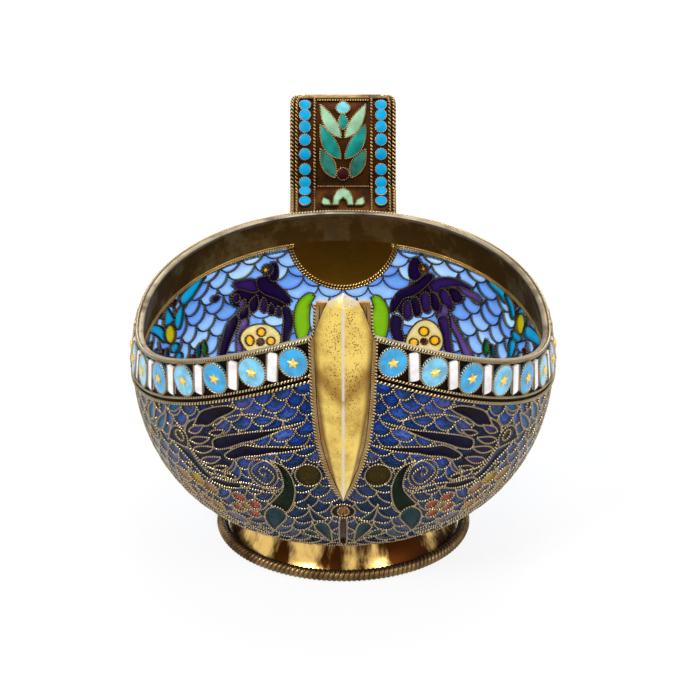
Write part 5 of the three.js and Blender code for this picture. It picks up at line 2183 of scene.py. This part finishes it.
def swollen(outline, reach):
    """A closed outline spread by a distance in millimetres."""
    k = float(degree_width(*outline.mean(0)))
    flat = outline * (k, 1)
    ahead = np.roll(flat, -1, 0) - np.roll(flat, 1, 0)
    ahead /= np.maximum(np.linalg.norm(ahead, axis=1, keepdims=True), 1e-9)
    turned = np.roll(flat, -1, 0)
    area = (flat[:, 0] * turned[:, 1] - turned[:, 0] * flat[:, 1]).sum()
    square = np.stack([ahead[:, 1], -ahead[:, 0]], 1) * np.sign(area)
    return (flat + square * reach) / (k, 1)


def outline_of(entry):
    """The points of an entry's line and whether it closes."""
    kind, _, *numbers = entry
    if kind == "grown":
        return swollen(curve_through(numbers[0], True), GROWTH), True
    if kind == "blob":
        return curve_through(numbers[0], True), True
    if kind == "line":
        return curve_through(numbers[0], False), False
    if kind == "leaf":
        return leaf_outline(*numbers), True
    return oval_outline(*numbers), True


def inside(points, outline):
    """Which points lie in a closed outline."""
    low, high = outline.min(0), outline.max(0)
    near = np.all((points > low) & (points < high), axis=1)
    result = np.zeros(len(points), bool)
    if not near.any():
        return result
    picked = points[near]
    held = np.zeros(len(picked), bool)
    after = np.roll(outline, -1, 0)
    for (x0, y0), (x1, y1) in zip(outline, after):
        if y0 == y1:
            continue
        crossed = (picked[:, 1] < y0) != (picked[:, 1] < y1)
        at = x0 + (picked[:, 1] - y0) / (y1 - y0) * (x1 - x0)
        held ^= crossed & (picked[:, 0] < at)
    result[near] = held
    return result


def rise_of_hem(angle):
    """Millimetres up the wall to the band's hem."""
    a = np.radians(angle)
    return hull().rise_below(a, hull().hem(a)) / MM


def rise_of_row(angle, row):
    """Millimetres up the wall to a row of scales, counted so that the last row ends at the hem."""
    return rise_of_hem(angle) - (SCALE_ROWS - row) * SCALE_RISE


def scale_rows():
    """The degrees at which the scales of each row meet, from the lowest row to the band."""
    chance = np.random.default_rng(SCALE_SEED)
    angles = np.linspace(-30, 210, 121)
    spans = FRONT_SPAN + (STERN_SPAN - FRONT_SPAN) * np.clip((angles - SPAN_START) / SPAN_REACH, 0, 1)
    rows = []
    for row in range(SCALE_ROWS + 3):
        rise = np.maximum(rise_of_row(angles, min(row + 0.6, SCALE_ROWS)), 0.3)
        a = np.radians(angles)
        steps = np.diff(walked(hull().point(a, hull().t_up(a, rise * MM)))) / MM
        reach = np.concatenate([[0.0], np.cumsum(steps / spans[:-1])])
        first, last = np.interp((0, 180), angles, reach)
        count = 2 * round((last - first) / 2)
        shares = (np.arange(-2, count + 3) + (0.5 if row % 2 else 0.0)) / count
        joints = np.interp(first + shares * (last - first), reach, angles)
        free = (joints > EVEN_END) & (joints < 180 - EVEN_END)
        shifts = chance.uniform(-SCALE_UNEVENNESS, SCALE_UNEVENNESS, free.sum())
        joints[free] += shifts * 180 / count
        rows.append(joints)
    return rows


def scale_floor(rows, row, angle):
    """How high the arcs of a row stand at angles, in rows, and which scale each angle is in."""
    joints = rows[row]
    scale = np.clip(np.searchsorted(joints, angle) - 1, 0, len(joints) - 2)
    x = 2 * (angle - joints[scale]) / (joints[scale + 1] - joints[scale]) - 1
    return row + 1 - np.sqrt(np.maximum(1 - x**2, 0)), scale


LINE_STRIDE = 0.35


def dense(line, closed):
    """A line's points at close steps."""
    if closed:
        line = np.vstack([line, line[:1]])
    k = degree_width(*line.mean(0))
    reach = walked(line * (k, 1))
    at = np.linspace(0, reach[-1], max(4, int(reach[-1] / LINE_STRIDE)) + 1)
    return between(at, reach, line)


class Pattern:
    """The drawn pattern of one side of the bowl: shapes, wire lines and cell colours."""

    def __init__(self, side):
        self.shapes = [(entry, *outline_of(entry)) for entry in whole_pattern(side)]
        self.lines = []
        self.rows = scale_rows()
        self.draw_scales()
        self.draw_shapes()

    def draw_scales(self):
        """Arcs of the scales and the short ties between rows, where no shape covers them."""
        for row in range(SCALE_ROWS + 1):
            joints = self.rows[row]
            for start, end in zip(joints[:-1], joints[1:]):
                angle = (start + end) / 2 - np.cos(np.linspace(0, math.pi, 15)) * (end - start) / 2
                height, _ = scale_floor(self.rows, row, angle[1:-1])
                height = np.concatenate([[row + 1], height, [row + 1]])
                tie, _ = scale_floor(self.rows, row + 1, np.array([end]))
                if tie[0] > row + 1.08:
                    angle = np.append(angle, end)
                    height = np.append(height, tie[0])
                line = np.stack([angle, rise_of_row(angle, height)], 1)
                self.keep_open(dense(line, False), 0)

    def draw_shapes(self):
        """Outlines and open lines, where no later shape covers them."""
        for index, (_, outline, closed) in enumerate(self.shapes):
            line = dense(outline, closed)
            self.keep_open(line, index + 1)

    def keep_open(self, line, first):
        """Keeps the runs of a line that lie on the wall and outside later shapes."""
        angle, rise = line.T
        top = rise_of_hem(np.clip(angle, 0, 180)) - HEM_BARE
        hidden = (angle < -0.01) | (angle > 180.01) | (rise < FOOT_BARE) | (rise > top)
        for _, outline, closed in self.shapes[first:]:
            if closed:
                hidden |= inside(line, outline)
        start = None
        for k in range(len(line) + 1):
            open_here = k < len(line) and not hidden[k]
            if open_here and start is None:
                start = k
            if not open_here and start is not None:
                if k - start > 1:
                    self.lines.append(line[start:k])
                start = None

    def tints(self, points):
        """Linear colours of the enamel at points of the chart."""
        row_at = SCALE_ROWS - (rise_of_hem(points[:, 0]) - points[:, 1]) / SCALE_RISE
        row = np.floor(row_at).astype(int)
        best = np.full(len(points), -1)
        cell = np.zeros(len(points), int)
        lift = np.zeros(len(points))
        for step in (0, -1):
            for trial in range(SCALE_ROWS + 2):
                here = np.flatnonzero(row + step == trial)
                height, scale = scale_floor(self.rows, trial, points[here, 0])
                taken = here[(row_at[here] >= height) & (best[here] < 0)]
                best[taken] = trial
                held = best[here] == trial
                cell[here[held]] = scale[held]
                lift[here[held]] = (row_at[here] - height)[held]
        palette = {name: linear(np.array(v) / 255) for name, v in ENAMELS.items()}
        tone = (cell * 7 + best * 11 + cell * best * 3) % len(SCALE_TONES)
        # The stern's scales take the lighter backlit blues: painted light of the backdrop shining through
        # the wall.
        astern = points[:, 0] > BACKLIT_START + BACKLIT_WAVER * np.sin(cell * 5.1 + best * 2.3)
        colour = np.zeros((len(points), 3))
        for which, ending in enumerate(SCALE_TONES):
            colour[(tone == which) & ~astern] = palette["scale" + ending]
            colour[(tone == which) & astern] = palette["sky" + ending]
        # Painted light and shade in each scale: lighter low down, and the painted shadow of the wire along
        # its top.
        high = np.clip(lift / SHADE_ROWS, 0, 1)[:, None]
        colour *= LIT_LOW_IN_SCALE * (1 - high) + SHADED_HIGH_IN_SCALE * high
        for entry, outline, closed in self.shapes:
            if closed:
                colour[inside(points, outline)] = palette[entry[1]]
        return np.clip(colour, 0, 1)


@cache
def pattern(side):
    """The pattern of a side, drawn once."""
    return Pattern(side)


# Wall


def chart_place(angle, rise, side, out=0.0):
    """Points on the wall from the chart, and their outward directions."""
    a = side * np.radians(angle)
    t = hull().t_up(a, rise * MM)
    return hull().place(a, t, out), hull().normal(a, t)


def in_seat(points, margin):
    """Which points lie behind the plain plate at the handle."""
    far = np.hypot(points[:, 0], points[:, 2] - seat_middle())
    return (far < chosen("band").seat_radius - margin) & (points[:, 1] > hull().centre)


WIRE_RADIUS = 0.235 * MM
WIRE_BEAD = 0.58 * MM
WIRE_SLANT = 0.8
WIRE_SUNK = 0.05 * MM
# The least groove value on the wires' inner face: painted shade, as the bowl's inside lies in shadow.
PAINTED_INNER_SHADE = 0.42
WALL_THICK = 0.9 * MM
WIRE_LAP = 0.6 * MM


def wall_rings(line, side):
    """Rings of a wire that shows on both faces of the wall."""
    points, outs = chart_place(line[:, 0], line[:, 1], side)
    path, out, at = evenly(points, outs, WIRE_BEAD / STRIDES_PER_BEAD)
    across, lift = frames(path, out, False)
    rings, grooves = [], []
    # On the inner face the groove values start higher, which paints the wires darker: painted shade.
    for depth, turned, least_shade in ((-WIRE_SUNK, 0, 0.0), (WIRE_SUNK - WALL_THICK, -180, PAINTED_INNER_SHADE)):
        for degrees in (150, 90, 30):
            angle = math.radians(degrees + turned)
            wave = np.cos(WIRE_SLANT * math.radians(degrees) - math.tau * at / WIRE_BEAD)
            reach = WIRE_RADIUS * (0.7 + 0.3 * wave)
            sideways = across * (reach * math.cos(angle))[:, None]
            rings.append(path + sideways + lift * (reach * math.sin(angle) + depth)[:, None])
            grooves.append(least_shade + (1 - least_shade) * ((1 - wave) / 2))
    return np.stack(rings, 1), np.stack(grooves, 1)


# Quarters of the wall: name, side, first and last degree from the prow, and what they stand for
QUARTERS = (
    ("front_right", 1, 0, 90, ("rib_prow", "rib_front_right")),
    ("front_left", -1, 0, 90, ("rib_front_left",)),
    ("back_right", 1, 90, 181, ("rib_stern", "rib_back_right")),
    ("back_left", -1, 90, 181, ("rib_back_left",)),
)


def wall_lines(side):
    """Wire lines on one side of the wall as points of the chart, clear of the handle's plate."""
    lines = []
    for line in pattern(side).lines:
        points, _ = chart_place(line[:, 0], line[:, 1], side)
        if in_seat(points, 0.0).all():
            continue
        keep = ~in_seat(points, WIRE_LAP)
        if keep.all():
            lines.append(line)
            continue
        cuts = np.flatnonzero(np.diff(keep.astype(int))) + 1
        for part, kept in zip(np.split(line, cuts), np.split(keep, cuts)):
            if kept[0] and len(part) > 1:
                lines.append(part)
    return lines


def make_wire_net():
    """The net of twisted wires that holds the enamel, in four quarters."""
    for name, side, start, end, nodes in QUARTERS:
        runs = []
        for line in wall_lines(side):
            middle = line[:, 0].mean()
            if start <= middle < end:
                runs.append(wall_rings(line, side))
        wired(f"wall_wires_{name}", runs, "wire", *nodes)


def enamel_depth_group():
    """See-through enamel that is deeper beside the wires, partly as thicker enamel there and partly as
    painted shade of the wires, and clouded in places.
    """
    if "Enamel Depth" in bpy.data.node_groups:
        return bpy.data.node_groups["Enamel Depth"]
    tree, take, made = new_group(
        "Enamel Depth",
        [
            ("Vector", VECTOR, None),
            ("Color", COLOUR, (1, 1, 1, 1)),
            ("Depth", NUMBER, 1.0),
            ("Edge", NUMBER, 0.55),
            ("Cloud", NUMBER, 0.2),
        ],
        [("Color", COLOUR), ("Height", NUMBER)],
    )
    # Darker beside the wires: partly thicker enamel, partly painted shade cast by the wires.
    near = stretched(tree, take["Depth"], 0.25, 0.9, 1.0, 0.0)
    edge = sums(tree, "MULTIPLY", near, take["Edge"])
    dark = mixed(tree, 1.0, take["Color"], take["Color"], "MULTIPLY")
    deep = mixed(tree, edge, take["Color"], dark)
    cloud = noise(tree, take["Vector"], 380.0, 4.0)
    pale = mixed(tree, 0.4, deep, deep, "ADD")
    clouded = sums(tree, "MULTIPLY", stretched(tree, cloud, 0.5, 0.75), take["Cloud"])
    height = sums(tree, "ADD", cloud, sums(tree, "MULTIPLY", near, 0.6))
    feed(made, {"Color": mixed(tree, clouded, deep, pale), "Height": height})
    return tree


def wall_enamel():
    """See-through enamel that takes its colour from the cells."""
    name = "See-through enamel"
    if name in bpy.data.materials:
        return bpy.data.materials[name]
    material, tree, shader, where = new_material(name)
    cell = {
        "Vector": where,
        "Color": attribute(tree, "cell_color", "Color"),
        "Depth": attribute(tree, "depth"),
    }
    deep = add(tree, "ShaderNodeGroup", cell, node_tree=enamel_depth_group())
    finish = {
        "Base Color": deep.outputs["Color"],
        "Roughness": 0.08,
        "IOR": 1.14,
        "Transmission Weight": 0.89,
        "Normal": bumped(tree, deep.outputs["Height"], 0.12, 0.3 * MM),
    }
    feed(shader, finish)
    return material


ENAMEL_COLUMNS = 360
ENAMEL_ROWS = 118
ENAMEL_THICK = 0.78 * MM
ENAMEL_SUNK = 0.03 * MM
ENAMEL_HOLLOW = 0.14 * MM
CELL_DEPTH_REACH = 1.2 * MM
SEAT_LAP = 1.0 * MM


def wire_finder(side):
    """A tree that finds the nearest point of a side's wires."""
    lines = [chart_place(line[:, 0], line[:, 1], side)[0] for line in wall_lines(side)]
    points = np.concatenate(lines)
    finder = kdtree.KDTree(len(points))
    for i, point in enumerate(points):
        finder.insert(point, i)
    finder.balance()
    return finder


def cut_behind_seat(shell):
    """Takes away what lies behind the plain plate at the handle."""
    with editing(shell, "DESELECT"):
        bpy.ops.mesh.select_mode(type="VERT")
    hidden = in_seat(corners_of(shell), SEAT_LAP)
    shell.data.vertices.foreach_set("select", hidden)
    bpy.ops.object.mode_set(mode="EDIT")
    bpy.ops.mesh.delete(type="VERT")
    bpy.ops.object.mode_set(mode="OBJECT")


def make_enamel():
    """The see-through enamel of both sides, sunk between its wires."""
    for hand, side in HANDS:
        finder = wire_finder(side)
        chart = {}

        def place(u, v, side=side, finder=finder, chart=chart):
            angle = u * 180
            rise = v * (rise_of_hem(angle) - HEM_BARE)
            flat, outs = chart_place(angle, rise, side)
            far = np.array([finder.find(point)[2] for point in flat])
            depth = np.clip(far / CELL_DEPTH_REACH, 0, 1)
            chart.update(points=np.stack([angle, rise], 1), depth=depth)
            sunk = depth**2 * (3 - 2 * depth)
            return flat - outs * (ENAMEL_SUNK + ENAMEL_HOLLOW * sunk)[:, None]

        shell = laid_grid(f"wall_enamel_{hand}", ENAMEL_COLUMNS, ENAMEL_ROWS, place)
        colour = pattern(side).tints(chart["points"])
        cells = shell.data.attributes.new("cell_color", "FLOAT_COLOR", "POINT")
        cells.data.foreach_set("color", np.c_[colour, np.ones(len(colour))].astype(np.float32).ravel())
        write_values(shell, "depth", chart["depth"])
        face_outward(shell, (side, 0, 0), ENAMEL_COLUMNS * (ENAMEL_ROWS // 2) + ENAMEL_COLUMNS // 2)
        cut_behind_seat(shell)
        thicken(shell, ENAMEL_THICK)
        nodes = [f"wall_{part}_{hand}" for part in ("front", "side", "back")]
        complete(shell, 60, wall_enamel(), "enamel_blue", *nodes)


# Stage, light and camera

# Degrees above the horizon, metres, millimetres of lens, and metres to the picture's middle
ELEVATION = 24.843
DISTANCE = 0.7
LENS = 175.2
TARGET_HEIGHT = 0.036
SLIDE_RIGHT = 0.001405
SLIDE_UP = 0.003684

# How white the floor is to what sees it white, and how bright the world is to the rest
FLOOR_WHITE = 0.86
WORLD_DIM = 0.55


def seen_white(tree):
    """1 for what the camera, metal and glass see, and 0 for other light."""
    path = add(tree, "ShaderNodeLightPath").outputs
    seen = sums(tree, "MAXIMUM", path["Is Camera Ray"], path["Is Glossy Ray"])
    return sums(tree, "MAXIMUM", seen, path["Is Transmission Ray"])


def white_floor():
    """A floor that the camera, metal and glass see nearly white, with the object's soft shadow."""
    material = bpy.data.materials.new("White floor")
    material.use_nodes = True
    tree = material.node_tree
    tree.nodes.clear()
    matt = add(tree, "ShaderNodeBsdfDiffuse", {"Color": (0.8, 0.8, 0.8, 1)})
    glow = add(tree, "ShaderNodeEmission", {"Color": (1, 1, 1, 1), "Strength": 1.0})
    part = sums(tree, "MULTIPLY", seen_white(tree), FLOOR_WHITE)
    mix = add(tree, "ShaderNodeMixShader", {0: part, 1: matt.outputs[0], 2: glow.outputs[0]})
    add(tree, "ShaderNodeOutputMaterial", {"Surface": mix.outputs[0]})
    return material


def white_world():
    """White to the camera, metal and glass, and a softer light on everything else."""
    world = bpy.data.worlds.new("Studio")
    bpy.context.scene.world = world
    world.use_nodes = True
    tree = world.node_tree
    tree.nodes.clear()
    strength = sums(tree, "MAXIMUM", seen_white(tree), WORLD_DIM)
    back = add(tree, "ShaderNodeBackground", {"Color": (1, 1, 1, 1), "Strength": strength})
    add(tree, "ShaderNodeOutputWorld", {"Surface": back.outputs[0]})


# Each lamp: its name, place and size in metres, and power in watts
LAMPS = (
    ("key", (-0.45, -0.55, 0.75), 0.35, 6.6),
    ("fill", (0.6, -0.5, 0.5), 0.4, 3.2),
    ("top", (0.05, 0.15, 0.95), 0.5, 3.2),
    ("back", (0.1, 0.8, 0.5), 0.5, 3.0),
)


def aimed(place, target):
    """A matrix at a place that looks at a target."""
    look = Vector(target) - Vector(place)
    return Matrix.Translation(place) @ look.to_track_quat("-Z", "Y").to_matrix().to_4x4()


def make_stage():
    """The floor, the world, the lamps and the camera."""
    deselect_all()
    bpy.ops.mesh.primitive_plane_add(size=12, location=(0, 0, 0))
    floor = named("floor")
    coat(floor, white_floor())
    white_world()
    scene = bpy.context.scene
    middle = (0, hull().centre, TARGET_HEIGHT)
    for name, place, size, power in LAMPS:
        lamp = bpy.data.lights.new(name, "AREA")
        lamp.shape = "DISK"
        lamp.size = size
        lamp.energy = power
        holder = bpy.data.objects.new(name, lamp)
        holder.matrix_world = aimed(place, middle)
        scene.collection.objects.link(holder)
    tilt = math.radians(ELEVATION)
    up = Vector((0, math.sin(tilt), math.cos(tilt)))
    place = Vector(middle) + DISTANCE * Vector((0, -math.cos(tilt), math.sin(tilt)))
    target = Vector(middle) + SLIDE_RIGHT * Vector((1, 0, 0)) + SLIDE_UP * up
    camera = bpy.data.cameras.new("camera")
    camera.lens = LENS
    camera.sensor_width = 36
    camera.clip_start = 0.05
    camera.clip_end = 20
    eye = bpy.data.objects.new("camera", camera)
    eye.matrix_world = aimed(place, target)
    scene.collection.objects.link(eye)
    scene.camera = eye
    scene.view_settings.view_transform = "Standard"


# Operators


class MakeStage(Operator):
    """Sets out the floor, the light and the camera"""

    bl_idname = "kovsh.make_stage"
    bl_label = "Stage"

    def execute(self, context):
        make_stage()
        return {"FINISHED"}


class MakeFoot(Operator):
    """Makes the foot, its rope and the bowl's floor"""

    bl_idname = "kovsh.make_foot"
    bl_label = "Foot and floor"

    def execute(self, context):
        make_foot()
        make_rope()
        make_floor()
        return {"FINISHED"}


class MakeEnamel(Operator):
    """Makes the see-through enamel of the wall"""

    bl_idname = "kovsh.make_enamel"
    bl_label = "Wall enamel"

    def execute(self, context):
        make_enamel()
        return {"FINISHED"}


class MakeWireNet(Operator):
    """Makes the net of twisted wires in the wall"""

    bl_idname = "kovsh.make_wire_net"
    bl_label = "Wall wires"

    def execute(self, context):
        make_wire_net()
        return {"FINISHED"}


class MakeBand(Operator):
    """Makes the rim band, its edge and its twisted wires"""

    bl_idname = "kovsh.make_band"
    bl_label = "Rim band"

    def execute(self, context):
        make_band()
        make_rim()
        make_band_wires()
        return {"FINISHED"}


class MakePlaques(Operator):
    """Makes the enamel plaques and the white bars between them"""

    bl_idname = "kovsh.make_plaques"
    bl_label = "Plaques and bars"

    def execute(self, context):
        make_plaques()
        make_bars()
        return {"FINISHED"}


class MakeSeat(Operator):
    """Makes the plain plate behind the handle"""

    bl_idname = "kovsh.make_seat"
    bl_label = "Handle seat"

    def execute(self, context):
        make_seat()
        return {"FINISHED"}


class MakeProw(Operator):
    """Makes the prow's shield and the beak"""

    bl_idname = "kovsh.make_prow"
    bl_label = "Prow"

    def execute(self, context):
        make_prow_plate()
        make_beak()
        return {"FINISHED"}


class MakeHandle(Operator):
    """Makes the strap handle, its wires and its enamel"""

    bl_idname = "kovsh.make_handle"
    bl_label = "Handle"

    def execute(self, context):
        make_handle_body()
        make_handle_wires()
        make_handle_enamel()
        return {"FINISHED"}


STEPS = (
    MakeStage, MakeFoot, MakeEnamel, MakeWireNet, MakeBand, MakePlaques, MakeSeat, MakeProw, MakeHandle,
)
GROUPS = {
    "kovsh_bowl": KovshBowl,
    "kovsh_band": KovshBand,
    "kovsh_prow": KovshProw,
    "kovsh_handle": KovshHandle,
    "kovsh_colours": KovshColours,
}


class KovshPanel(Panel):
    """Lists the steps that dress the kovsh"""

    bl_idname = "VIEW3D_PT_kovsh"
    bl_label = "Kovsh"
    bl_space_type = "VIEW_3D"
    bl_region_type = "UI"
    bl_category = "Kovsh"

    def draw(self, context):
        for step in STEPS:
            self.layout.operator(step.bl_idname)
        for name in GROUPS:
            group = getattr(context.scene, name)
            box = self.layout.box()
            for key in group.bl_rna.properties.keys():
                if key not in {"rna_type", "name"}:
                    box.prop(group, key)


def register():
    """Adds the classes and the properties."""
    for group in GROUPS.values():
        bpy.utils.register_class(group)
    for name, group in GROUPS.items():
        setattr(bpy.types.Scene, name, PointerProperty(type=group))
    for step in STEPS:
        bpy.utils.register_class(step)
    bpy.utils.register_class(KovshPanel)


def unregister():
    """Takes them away again."""
    bpy.utils.unregister_class(KovshPanel)
    for step in reversed(STEPS):
        bpy.utils.unregister_class(step)
    for name in GROUPS:
        delattr(bpy.types.Scene, name)
    for group in reversed(list(GROUPS.values())):
        bpy.utils.unregister_class(group)


def main():
    """Makes everything in order."""
    register()
    bpy.ops.kovsh.make_stage()
    bpy.ops.kovsh.make_foot()
    bpy.ops.kovsh.make_enamel()
    bpy.ops.kovsh.make_wire_net()
    bpy.ops.kovsh.make_band()
    bpy.ops.kovsh.make_plaques()
    bpy.ops.kovsh.make_seat()
    bpy.ops.kovsh.make_prow()
    bpy.ops.kovsh.make_handle()


if __name__ == "__main__":
    main()
